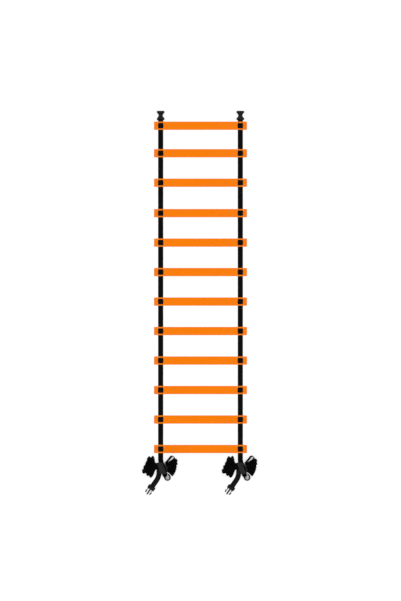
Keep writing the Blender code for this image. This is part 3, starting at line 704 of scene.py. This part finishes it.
def finer_band(points, sides, steps):
    along = lengths_along(points)
    sides = np.array(sides)
    widths = np.linalg.norm(sides, axis=1)[:, None]
    smooth_sides = units(finer(sides / widths, along, steps))
    return finer(points, along, steps), smooth_sides * finer(widths, along, steps)


def cubic(start, pull_start, pull_end, end, steps):
    made = []
    for i in range(1, steps + 1):
        t = i / steps
        made.append(
            start * (1 - t) ** 3
            + 3 * pull_start * t * (1 - t) ** 2
            + 3 * pull_end * t**2 * (1 - t)
            + end * t**3
        )
    return made


def through(points, steps):
    """A smooth curve through all points, with steps stretches between each pair."""
    points = [np.array(p, float) for p in points]
    ends = [2 * points[0] - points[1]] + points + [2 * points[-1] - points[-2]]
    made = [points[0]]
    for a, b, c, d in zip(ends, ends[1:], ends[2:], ends[3:]):
        for i in range(1, steps + 1):
            t = i / steps
            square = (2 * a - 5 * b + 4 * c - d) * t**2
            cube = (3 * b - a - 3 * c + d) * t**3
            made.append((2 * b + (c - a) * t + square + cube) / 2)
    return made


def square_sides(points, widths):
    runs = directions(np.array(points))
    return [unit(w - r * r.dot(w)) * WEB_WIDTH / 2 for r, w in zip(runs, np.array(widths))]


def strand_ends(number):
    """Left and right end of a strand in the waist; strand 0 is the lowest."""
    steps = LAST_STRAND - number
    left = np.array((WAIST_LEFT[0], WAIST_LEFT[1] - LEFT_STEP * steps))
    spread = WAIST_RIGHT_SPREAD * steps / LAST_STRAND
    right = np.array((WAIST_RIGHT[0] + spread, WAIST_RIGHT[1] - RIGHT_STEP * steps))
    return left, right


def lean_at(place):
    """How far webbing on edge leans at a place in plan, for each metre of rise."""
    centre, still = (LEFT_HUB, LEFT_STILL) if place[0] < 0 else (RIGHT_HUB, RIGHT_STILL)
    spoke = np.array(place) - centre
    past = np.linalg.norm(spoke) - still
    return quarter_turn(unit(spoke)) * math.tan(FAN_LEAN * ease(past / LEAN_RUN))


class Band:
    """Collects the middle places and half widths of webbing that stands or leans on edge."""

    def __init__(self):
        self.points = []
        self.sides = []

    def lay(self, place, run, base, lean):
        width = np.append(quarter_turn(run) * math.sin(lean), math.cos(lean))
        height = base + WEB_WIDTH / 2 * math.cos(lean) + WEB_THICK / 2 * math.sin(lean)
        self.points.append(np.append(place, height))
        self.sides.append(width * WEB_WIDTH / 2)

    def stand(self, place, base):
        slope = lean_at(place)
        width = unit(np.append(slope, 1))
        foot = base + WEB_THICK / 2 * math.sqrt(1 - width[2] ** 2)
        self.points.append(np.append(place + slope * foot, foot) + width * WEB_WIDTH / 2)
        self.sides.append(width * WEB_WIDTH / 2)


def leg_places(start, outward, tip, centre):
    """A leg of a loop from the waist to its tip, with its places on rings about the fan's hub."""
    length = np.linalg.norm(tip - start)
    pull_out = start + outward * length * LEG_START_SHARE
    pull_in = tip - unit(tip - centre) * length * LEG_END_SHARE
    curve = np.array([start] + cubic(start, pull_out, pull_in, tip, CURVE_STEPS))
    hub, still = (LEFT_HUB, LEFT_STILL) if outward[0] < 0 else (RIGHT_HUB, RIGHT_STILL)
    radii = np.linalg.norm(curve - hub, axis=1)
    rings = [still + LEAN_RUN * share for share in RING_SHARES]
    rings = [ring for ring in rings if radii[0] + RING_CLEAR < ring < radii[-1] - RING_CLEAR]
    inner = [[np.interp(ring, radii, curve[:, axis]) for axis in (0, 1)] for ring in rings]
    return [start] + [np.array(place) for place in inner] + [tip]


def leg_bases(places):
    """The heights of a leg's lower edge, from the waist down to the ground."""
    return [
        STRAND_BASE + (FLOOR_GAP - STRAND_BASE) * ease(gone / DESCENT)
        for gone in lengths_along(places)
    ]


def fan_loop(band, start, end, outward, centre, angle, reach, radius):
    """One loop of a fan: out along a leg, round its tip and back to the next strand."""
    facing = np.array((math.cos(angle), math.sin(angle)))
    first_side = quarter_turn(facing) if outward[0] < 0 else -quarter_turn(facing)
    hub = np.array(centre) + facing * (reach - radius)
    places = leg_places(start, outward, hub + first_side * radius, centre)
    for place, base in list(zip(places, leg_bases(places)))[1:]:
        band.stand(place, base)
    for i in range(1, TIP_STEPS):
        turned = math.pi * i / TIP_STEPS
        rim = first_side * math.cos(turned) + facing * math.sin(turned)
        band.stand(hub + rim * radius, FLOOR_GAP)
    places = leg_places(end, outward, hub - first_side * radius, centre)
    for place, base in reversed(list(zip(places, leg_bases(places)))):
        band.stand(place, base)


def strand_places(number):
    left, right = strand_ends(number)
    start, end = (right, left) if number % 2 == 0 else (left, right)
    level = np.array((end[0] - start[0], 0)) * WAIST_PULL_SHARE
    return [start] + cubic(start, start + level, end - level, end, STRAND_STEPS)


def add_lead(band):
    """The lead lies flat under the wrap, then turns up on edge and rises to the first strand."""
    points = [(0, -HANK_CREASE - JOIN_GAP / 2)] + list(LEAD_ROUTE) + [tuple(strand_ends(0)[1])]
    places = through(points, LEAD_STEPS)
    along = lengths_along(places)
    for place, run, gone in zip(places, directions(np.array(places)), along):
        low = STRAP_BASE + (FLOOR_GAP - STRAP_BASE) * ease(gone / LEAD_DROP)
        base = low + (STRAND_BASE - low) * ease(1 - (along[-1] - gone) / LEAD_RISE)
        flat = math.pi / 2 * (1 - ease((gone - TWIST_FROM) / TWIST_RUN))
        kept = LEAD_LEAN * ease((along[-1] - gone) / LEAD_RISE)
        band.lay(place, run, base, max(flat, kept))


def hank_path():
    band = Band()
    add_lead(band)
    fans = (
        (np.array((-1.0, 0.0)), LEFT_CENTRE, LEFT_FIRST, LEFT_TURN, LEFT_REACH_SHARES),
        (np.array((1.0, 0.0)), RIGHT_CENTRE, RIGHT_FIRST, RIGHT_TURN, RIGHT_REACH_SHARES),
    )
    for number in range(LAST_STRAND):
        for place in strand_places(number)[1:]:
            band.stand(place, STRAND_BASE)
        loop = number // 2
        side = number % 2
        outward, centre, first, turn, reach_shares = fans[side]
        reach = REACH * reach_shares[loop]
        radius = reach * math.tan(abs(turn) * LOOP_WIDTH_SHARE / 2)
        angle = first + turn * loop
        if number == LAST_STRAND - 1:
            angle += OPEN_LOOP_TURN
            radius *= OPEN_LOOP_SHARE
        start = strand_ends(number)[side]
        end = strand_ends(number + 1)[side]
        fan_loop(band, start, end, outward, np.array(centre), angle, reach, radius)
    for place in strand_places(LAST_STRAND)[1:]:
        if place[0] > WAIST_RIGHT[0] - HANK_END:
            band.stand(place, STRAND_BASE)
    return band.points, band.sides


def rounded_path(corners, radius, steps):
    """A path through corners in space, each but the first and last turned with an even radius."""
    corners = [np.array(c, float) for c in corners]
    made = [corners[0]]
    for before, corner, after in zip(corners, corners[1:], corners[2:]):
        back = unit(before - corner)
        ahead = unit(after - corner)
        half = math.acos(max(-1, min(1, back.dot(ahead)))) / 2
        reach = radius / math.tan(half)
        start = corner + back * reach
        end = corner + ahead * reach
        centre = corner + unit(back + ahead) * radius / math.sin(half)
        for i in range(steps + 1):
            t = i / steps
            spoke = unit((start - centre) * (1 - t) + (end - centre) * t)
            made.append(centre + spoke * radius)
    made.append(corners[-1])
    return made


def wrap_path():
    """Two turns round the waist, the inner one first, leaving along the ground as the tail."""
    clear = WEB_THICK + WRAP_CLEAR
    layer = WEB_THICK + TURN_GAP
    inner_top = strand_ends(LAST_STRAND - 1)[0][1] + clear
    inner_low = strand_ends(0)[1][1] - clear
    outer_top = inner_top + layer
    outer_low = inner_low - layer
    corners = [
        (WRAP_LOW_X, inner_low, STRAND_BASE + WRAP_START),
        (WRAP_LOW_X, inner_low, INNER_HIGH),
        (WRAP_TOP_X, inner_top, INNER_HIGH),
        (WRAP_TOP_X, inner_top, INNER_LOW),
        (WRAP_LOW_X, outer_low, INNER_LOW),
        (WRAP_LOW_X, outer_low, OUTER_HIGH),
        (WRAP_TOP_X, outer_top, OUTER_HIGH),
        (WRAP_TOP_X, outer_top, OUTER_LOW),
        (*TAIL_START, OUTER_LOW),
    ]
    points = rounded_path(corners, WRAP_CORNER, CORNER_STEPS)
    slant = math.atan2(WRAP_LOW_X - WRAP_TOP_X, inner_top - inner_low)
    sides = [ACROSS * WEB_WIDTH / 2 / math.cos(slant)] * (len(points) - 1)
    return points, sides + [ACROSS * WEB_WIDTH / 2]


def roll(over):
    """Points round a bar in the plane of its run and Z, from one tangent to the other."""
    start = math.pi / 2 if over else -math.pi / 2
    turn = -math.pi if over else math.pi
    return arc((0, BAR_HEIGHT), ROLL_RADIUS, start, turn, ROLL_STEPS)


def head_strap_path():
    """Along the ladder from the first slat, over the socket's bar and back under itself."""
    lip = RUNG_WIDTH / 2
    back = STRAP_BASE - RUN_GAP - WEB_THICK / 2
    side = [(0, STRAP_MIDDLE), (lip / 2, STRAP_MIDDLE), (lip, STRAP_MIDDLE)]
    side.append(((lip + SOCKET_BAR) / 2, (STRAP_MIDDLE + BAR_HEIGHT + ROLL_RADIUS) / 2))
    side += [(SOCKET_BAR + y, z) for y, z in roll(True)]
    side.append(((lip + SOCKET_BAR) / 2, (back + BAR_HEIGHT - ROLL_RADIUS) / 2))
    side += [(lip, back), (SOCKET_BAR - FOLD_BACK, back)]
    return [np.array((0, y, z)) for y, z in side]


def tail_path():
    """From the wrap, down to the ground and on to the plug's bar, round it and back on top."""
    heading = PLUG_AHEAD[:2]
    bar = np.array(PLUG_PLACE)
    straight = bar - heading * TAIL_STRAIGHT
    start = np.array(TAIL_START)
    pull = TAIL_PULL_SHARE * np.linalg.norm(straight - start)
    leave = start + unit(np.array(TAIL_LEAN)) * pull
    bend = [start] + cubic(start, leave, straight - heading * pull, straight, TAIL_STEPS)
    points = []
    for i, place in enumerate(bend):
        fall = ease(2 * i / TAIL_STEPS)  # over by halfway
        points.append(np.append(place, OUTER_LOW + (GROUND_LEVEL - OUTER_LOW) * fall))
    near = 2 * ROLL_RADIUS
    side = [(-2 * near, GROUND_LEVEL)]
    side += roll(False)
    upper = GROUND_LEVEL + WEB_THICK + TURN_GAP
    side += [(-near, (BAR_HEIGHT + ROLL_RADIUS + upper) / 2)]
    side += [(-2 * near, upper + (BAR_HEIGHT - ROLL_RADIUS) / 2)]
    side += [(-3 * near, upper), (-TAIL_FOLD, upper)]
    for along, height in side:
        points.append(np.append(bar + heading * along, height))
    flat = [np.append(quarter_turn(run[:2]), 0) for run in directions(np.array(points))]
    square = np.append(quarter_turn(heading), 0)
    widths = [unit(width) for width in flat[: len(bend)]] + [square] * len(side)
    return points, [ACROSS * WEB_WIDTH / 2] + square_sides(points, widths)[1:]


def run_path(high, low, crease):
    """A straight stretch of strap from high to low along Y, with close stations at its crease."""
    reach = CREASE_REACH + CREASE_MARGIN
    stations = list(np.arange(high, crease + reach, -RUN_STEP))
    stations += list(np.linspace(crease + reach, crease - reach, CREASE_STEPS))
    stations += list(np.arange(low, crease - reach, RUN_STEP))[::-1]
    return [np.array((0, y, STRAP_MIDDLE)) for y in stations]


def stitches(rows, name):
    """Zigzag bar tacks: rows of (start, end, lift) give each stitch its two ends and its up."""
    shape = bmesh.new()
    for start, end, lift in rows:
        run = Vector(end - start)
        made = bmesh.ops.create_cube(shape, size=1)["verts"]
        edges = {edge for vert in made for edge in vert.link_edges}
        turn = run.to_track_quat("X", "Z").to_matrix().to_4x4()
        thick = 2 * STITCH_RADIUS
        size = Matrix.Diagonal((run.length + STITCH_RADIUS, thick, thick, 1))
        middle = Vector((start + end) / 2 + lift * STITCH_RADIUS / 2)
        bmesh.ops.transform(shape, matrix=Matrix.Translation(middle) @ turn @ size, verts=made)
        bmesh.ops.bevel(
            shape, geom=list(edges), offset=STITCH_EDGE, segments=1, profile=0.5,
            affect="EDGES", material=-1,
        )
    mesh = finish_mesh(shape, name)
    smooth(mesh, degrees=80)
    return mesh


def tack(middle, run, side, lift):
    """One bar tack across a strap: a dense zigzag of stitches."""
    count = int(2 * TACK_HALF / STITCH_PITCH)
    rows = []
    for i in range(count):
        a = -TACK_HALF + 2 * TACK_HALF * i / count
        b = -TACK_HALF + 2 * TACK_HALF * (i + 1) / count
        way = 1 if i % 2 else -1
        low = middle + side * a - run * way * TACK_DEPTH / 2
        high = middle + side * b + run * way * TACK_DEPTH / 2
        rows.append((low, high, lift))
    return rows


# ---------------------------------------------------------------- slats and buckles

def slat_mesh():
    half = RUNG_WIDTH / 2
    outline = rounded_rectangle(-RUNG_LENGTH / 2, RUNG_LENGTH / 2, -half, half, RUNG_CORNER)
    slat = prism(outline, 0, RUNG_THICK, RUNG_EDGE, "slat")
    cuts = []
    for strap in (-STRAP_SPACING / 2, STRAP_SPACING / 2):
        low = strap - CHANNEL_HALF
        high = strap + CHANNEL_HALF
        recess = rectangle(low, high, -SLOT_OUT, SLOT_OUT)
        cuts.append(prism(recess, BRIDGE_THICK, RUNG_THICK + OVERRUN))
        for way in (-1, 1):
            inner, outer = sorted((way * BRIDGE_WIDTH / 2, way * SLOT_OUT))
            slot = rectangle(low, high, inner, outer)
            cuts.append(prism(slot, -OVERRUN, RUNG_THICK / 2))
            inner, outer = sorted((way * (SLOT_OUT - SLOT_WIDTH / 2), way * (half + OVERRUN)))
            under_lip = rectangle(low, high, inner, outer)
            cuts.append(prism(under_lip, -OVERRUN, LIP_BASE))
    return carved(slat, cuts, [], CUT_EDGE, "slat")


def socket_outline():
    """The hourglass of the socket: flared shoulders, a drawn-in waist and round corners."""
    half_length = SOCKET_LENGTH / 2
    shoulder = half_length * SHOULDER_SHARE
    flare = SLOT_HALF + SOCKET_RAIL
    waist = SOCKET_WAIST / 2
    side = []
    for i in range(2 * SIDE_STEPS + 1):
        share = i / SIDE_STEPS - 1
        side.append((waist + (flare - waist) * abs(share) ** FLARE_POWER_SHARE, shoulder * share))
    reach = half_length - shoulder
    corner = [
        (
            flare - SOCKET_CORNER * (1 - math.cos(math.pi / 2 * i / CORNER_STEPS)),
            shoulder + reach * math.sin(math.pi / 2 * i / CORNER_STEPS),
        )
        for i in range(1, CORNER_STEPS + 1)
    ]
    right = [(x, -y) for x, y in reversed(corner)] + side + corner
    return right + [(-x, y) for x, y in reversed(right)]


def socket_mesh():
    """Built about its bar: the mouth looks along +Y."""
    middle = SOCKET_LENGTH / 2 - SOCKET_END
    outline = [(x, y + middle) for x, y in socket_outline()]
    body = prism(outline, 0, SOCKET_THICK, SOCKET_EDGE, "socket")
    mouth_end = SOCKET_LENGTH - SOCKET_END
    slot_end = ROLL_RADIUS + WEB_THICK / 2 + SLOT_ROOM
    strap_gap = rectangle(-SLOT_HALF, SLOT_HALF, -SOCKET_END - OVERRUN, slot_end)
    mouth_half = MOUTH_WIDTH / 2
    mouth = rectangle(-mouth_half, mouth_half, mouth_end - MOUTH_DEPTH, mouth_end + OVERRUN)
    mouth_low = (SOCKET_THICK - MOUTH_HEIGHT) / 2
    cuts = [
        prism(strap_gap, -OVERRUN, SOCKET_THICK + OVERRUN),
        prism(mouth, mouth_low, mouth_low + MOUTH_HEIGHT),
    ]
    half = GRIP_LENGTH / 2
    for i in range(GRIP_COUNT):
        y = middle + GRIP_PITCH * (i - (GRIP_COUNT - 1) / 2) - GRIP_WIDTH / 2
        groove = rounded_rectangle(-half, half, y, y + GRIP_WIDTH, GRIP_CORNER)
        cuts.append(prism(groove, SOCKET_THICK - GRIP_DEPTH, SOCKET_THICK + OVERRUN))
    return carved(body, cuts, [bar_mesh(SLOT_HALF + SOCKET_EDGE)], BUCKLE_CUT_EDGE, "socket")


def plug_mesh():
    """Built about its bar: the prongs point along +Y."""
    half = SLOT_HALF + PLUG_RAIL
    outline = rounded_rectangle(-half, half, -PLUG_END, COLLAR_FRONT, PLUG_CORNER)
    base = prism(outline, 0, PLUG_THICK, PLUG_EDGE, "plug")
    slot_end = COLLAR_FRONT - PLUG_COLLAR
    strap_gap = rectangle(-SLOT_HALF, SLOT_HALF, -PLUG_END - OVERRUN, slot_end)
    low = (PLUG_THICK - PRONG_THICK) / 2
    top = low + PRONG_THICK
    tip = COLLAR_FRONT + GUIDE_LENGTH
    guide = [(-GUIDE_ROOT / 2, COLLAR_FRONT - OVERRUN), (GUIDE_ROOT / 2, COLLAR_FRONT - OVERRUN)]
    guide += arc((0, tip - GUIDE_TIP / 2), GUIDE_TIP / 2, 0, math.pi, 2 * CORNER_STEPS)
    cuts = [prism(strap_gap, -OVERRUN, PLUG_THICK + OVERRUN)]
    for way in (-1, 1):
        pivot = (way * ARM_SPREAD, COLLAR_FRONT - KNUCKLE_SET)
        room = KNUCKLE_RADIUS + RUN_GAP
        seat = arc(pivot, room, 0, 2 * math.pi, ROUND_STEPS)[:-1]
        cuts.append(prism(seat, low - RUN_GAP, top + RUN_GAP))
        opening = rectangle(pivot[0] - room, pivot[0] + room, pivot[1], COLLAR_FRONT + OVERRUN)
        cuts.append(prism(opening, low - RUN_GAP, top + RUN_GAP))
    joins = [bar_mesh(SLOT_HALF + PLUG_EDGE), prism(guide, low, top)]
    return carved(base, cuts, joins, BUCKLE_CUT_EDGE, "plug")


def arm_mesh(way):
    """A springing arm about its pivot, pointing along +Y, with its barbed head outwards by way."""
    knuckle = arc((0, 0), KNUCKLE_RADIUS, KNUCKLE_START, KNUCKLE_TURN, ROUND_STEPS // 2)
    blade = [(x * KNUCKLE_RADIUS, y * ARM_LENGTH) for x, y in ARM_SHARES]
    low = (PLUG_THICK - PRONG_THICK) / 2
    high = low + PRONG_THICK
    mesh = prism(knuckle + blade, low, high, 2 * BUCKLE_CUT_EDGE, "arm", segments=3)
    if way < 0:
        mesh.transform(Matrix.Scale(-1, 4, (1, 0, 0)))
        mesh.flip_normals()
    return moulded(mesh)


# ---------------------------------------------------------------- the ladder

SIDES = (("left", -STRAP_SPACING / 2), ("right", STRAP_SPACING / 2))


def place_on(piece, body, slot, *nodes):
    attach(piece, body)
    if nodes:
        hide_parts(*nodes)


def make_slats():
    slat = slat_mesh()
    for number in range(1, RUNG_COUNT + 1):
        node = f"rung_{number:02d}"
        piece = put_in_scene(f"{node}_slat", slat, SLAT_FINISH, (0, rung_y(number), 0))
        place_on(piece, node, "rung", node)


def make_strap_heads():
    """The straps' ends: over the socket's bar and back, with two bar tacks."""
    head = head_strap_path()
    points, sides = finer_band(head, square_sides(head, [ACROSS] * len(head)), steps=3)
    band = webbing(points, sides, "head")
    upper = points[: len(points) // 2]
    runs = directions(upper)
    rows = []
    for share in HEAD_TACK_SHARES:
        at = share * (SOCKET_BAR - RUNG_WIDTH / 2) + RUNG_WIDTH / 2
        i = int(np.argmin(abs(upper[:, 1] - at)))
        lift = unit(np.cross(ACROSS, runs[i]))
        rows += tack(upper[i] + lift * WEB_THICK / 2 * CROWN, runs[i], ACROSS, lift)
    tacks = stitches(rows, "tacks")
    for side, strap_x in SIDES:
        piece = put_in_scene(f"{side}_strap_head", band, WEB_FINISH, (strap_x, 0, 0))
        place_on(piece, "bay_01", "webbing", f"{side}_strap_01")
        piece = put_in_scene(f"{side}_head_tacks", tacks, THREAD_FINISH, (strap_x, 0, 0))
        place_on(piece, "bay_01", "webbing")


def make_strap_runs(lead):
    """The straps from the middle of each slat to the middle of the next, and on into the hank.

    Returns how far along its webbing the last one hands over to the hank.
    """
    for number in range(1, RUNG_COUNT + 1):
        last = number == RUNG_COUNT
        high = rung_y(number)
        if last:
            crease = LAST_RUNG - HANK_CREASE
            path = run_path(high, crease - CREASE_REACH, crease)
            path = [place for place in path if place[1] > crease + JOIN_GAP / 2]
        else:
            crease = crease_y(number)
            path = run_path(high, rung_y(number + 1), crease)
        sides = [ACROSS * WEB_WIDTH / 2] * len(path)
        if last:
            path += [place + (0, LAST_RUNG, 0) for place in lead[0]]
            sides += list(lead[1])
        band = webbing(path, sides, "run", -high, lead_out=int(last))
        for side, strap_x in SIDES:
            name = f"{side}_strap_run_{number:02d}"
            piece = put_in_scene(name, band, WEB_FINISH, (strap_x, 0, 0))
            start = (strap_x, crease + CREASE_REACH, STRAP_MIDDLE)
            end = (strap_x, crease - CREASE_REACH, STRAP_MIDDLE)
            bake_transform(piece)
            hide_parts(f"{side}_strap_{number:02d}")
            if not last:
                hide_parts(f"{side}_strap_{number + 1:02d}")
    return lengths_along(path)[-2] - high


def make_hanks(hank, hand_over):
    points, sides = hank
    before = np.linalg.norm(points[1] - points[0])
    spare = webbing(points, sides, "hank", hand_over - before, lead_in=1)
    wrap_points, wrap_sides = wrap_path()
    wrap = webbing(*finer_band(wrap_points, wrap_sides, steps=2), "wrap")
    tail_start = lengths_along(wrap_points)[-1]
    tail = webbing(*finer_band(*tail_path(), steps=4), "tail", tail_start)

    upper = GROUND_LEVEL + WEB_THICK + TURN_GAP + WEB_THICK / 2 * CROWN
    rows = []
    for back in TAIL_TACKS:
        middle = np.append(PLUG_PLACE, upper) - PLUG_AHEAD * (TAIL_FOLD - back)
        rows += tack(middle, PLUG_AHEAD, PLUG_BESIDE, UP)
    tacks = stitches(rows, "tacks")

    for side, strap_x in SIDES:
        place = (strap_x, LAST_RUNG, 0)
        piece = put_in_scene(f"{side}_spare_webbing", spare, WEB_FINISH, place)
        place_on(piece, f"{side}_hank", "webbing", f"{side}_hank")
        piece = put_in_scene(f"{side}_hank_wrap", wrap, WRAP_FINISH_WITH_PAINTED_SHEEN, place)
        place_on(piece, f"{side}_hank", "webbing", f"{side}_wrap")
        piece = put_in_scene(f"{side}_plug_tail", tail, TAIL_FINISH_WITH_PAINTED_SHEEN, place)
        start = np.array((strap_x + TAIL_START[0], LAST_RUNG + TAIL_START[1], OUTER_LOW))
        end = start + np.append(unit(np.array(TAIL_LEAN)), 0) * TAIL_BEND
        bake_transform(piece)
        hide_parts(f"{side}_tail")
        piece = put_in_scene(f"{side}_tail_tacks", tacks, THREAD_FINISH, place)
        place_on(piece, f"{side}_tail", "webbing")


def make_buckles():
    socket = socket_mesh()
    plug = plug_mesh()
    arms = {"left": arm_mesh(-1), "right": arm_mesh(1)}
    for side, strap_x in SIDES:
        bar = (strap_x, SOCKET_BAR, 0)
        piece = put_in_scene(f"{side}_socket_half", socket, BUCKLE_FINISH, bar)
        place_on(piece, f"{side}_socket", "buckle", f"{side}_socket")
        bar = np.array((strap_x + PLUG_PLACE[0], LAST_RUNG + PLUG_PLACE[1], 0))
        piece = put_in_scene(f"{side}_plug_half", plug, BUCKLE_FINISH, bar, PLUG_YAW)
        place_on(piece, f"{side}_plug", "buckle", f"{side}_plug")
        for arm, way in (("left", -1), ("right", 1)):
            pivot = bar + PLUG_AHEAD * (COLLAR_FRONT - KNUCKLE_SET)
            pivot += PLUG_BESIDE * way * ARM_SPREAD
            node = f"{side}_plug_{arm}_arm"
            name = f"{side}_{arm}_spring_arm"
            piece = put_in_scene(name, arms[arm], BUCKLE_FINISH, pivot, PLUG_YAW)
            place_on(piece, node, "buckle", node)


# ---------------------------------------------------------------- light, floor and camera

def set_stage():
    scene = bpy.context.scene
    scene.view_settings.view_transform = "Standard"
    shape = bmesh.new()
    level = Matrix.Translation((0, 0, FLOOR_LEVEL))
    bmesh.ops.create_grid(shape, x_segments=1, y_segments=1, size=FLOOR_REACH, matrix=level)
    mesh = bpy.data.meshes.new("floor")
    shape.to_mesh(mesh)
    shape.free()
    floor = bpy.data.objects.new("floor", mesh)
    scene.collection.objects.link(floor)

    paper = Finish("white_paper", {"Roughness": 1.0, "Specular IOR Level": 0.0})
    paper.shader.inputs["Base Color"].default_value = opaque([PAPER_GREY] * 3)
    paper.shader.inputs["Emission Color"].default_value = (1, 1, 1, 1)
    # painted shade: the floor's glow is cut in crevices and gaps where pieces crowd it
    sockets = {"Distance": CREVICE_SHADE_REACH}
    open_sky = paper.node("ShaderNodeAmbientOcclusion", None, sockets, out=1)
    brightness_with_painted_shade = seen_directly(paper) * paper.above(open_sky, CREVICE_SHADE_FROM, CREVICE_SHADE_GAIN)
    paper.feed("Emission Strength", brightness_with_painted_shade * PAPER_GLOW)
    paper.feed("Alpha", 1.0 - see_through(paper))
    floor.data.materials.append(paper.material)

    world = bpy.data.worlds.new("studio")
    world.use_nodes = True
    scene.world = world
    sky = Shading(world.node_tree, "Background")
    sky.shader.inputs["Color"].default_value = (1, 1, 1, 1)
    sky.feed("Strength", sky.between(seen_directly(sky), low=SKY_LIGHT, high=1))

    for name, tilt, turn, share, width in LAMPS:
        lamp = bpy.data.lights.new(name, "SUN")
        lamp.energy = share * math.pi / math.cos(math.radians(tilt))
        lamp.angle = math.radians(width)
        made = bpy.data.objects.new(name, lamp)
        made.rotation_euler = (math.radians(tilt), 0, math.radians(turn))
        made.location = LAMP_PLACE
        scene.collection.objects.link(made)


def see_through(paper):
    """1 on the floor's underside and wherever a folded bay hangs below it, 0 elsewhere."""
    settings = {"inside": True, "samples": BELOW_RAYS}
    empty = paper.node("ShaderNodeAmbientOcclusion", settings, {"Distance": BELOW_REACH}, out=1)
    underside = paper.node("ShaderNodeNewGeometry", out=6)
    return paper.maths("MAXIMUM", underside, paper.clamp((1.0 - empty) * BELOW_GAIN))


def seen_directly(shading):
    """1 for rays from the camera, or mirrored or let through on their way to it."""
    rays = shading.node("ShaderNodeLightPath").socket.node.outputs
    most = Value(shading, rays["Is Camera Ray"])
    for kind in ("Is Glossy Ray", "Is Transmission Ray"):
        most = shading.maths("MAXIMUM", most, Value(shading, rays[kind]))
    return most


def set_camera():
    data = bpy.data.cameras.new("camera")
    data.sensor_width = SENSOR
    data.lens = SENSOR * CAMERA_HEIGHT / FRAME_HEIGHT
    data.clip_end = FAR_CLIP
    camera = bpy.data.objects.new("camera", data)
    camera.location = (0, CAMERA_Y, CAMERA_HEIGHT)
    bpy.context.scene.collection.objects.link(camera)
    bpy.context.scene.camera = camera


def main():
    set_camera()
    set_stage()
    make_slats()
    points, sides = finer_band(*hank_path(), steps=3)
    cut = int(np.argmax(lengths_along(points) >= LEAD_HAND_OVER))
    make_strap_heads()
    hand_over = make_strap_runs((points[: cut + 2], sides[: cut + 2]))
    make_hanks((points[cut - 1 :], sides[cut - 1 :]), hand_over)
    make_buckles()


main()
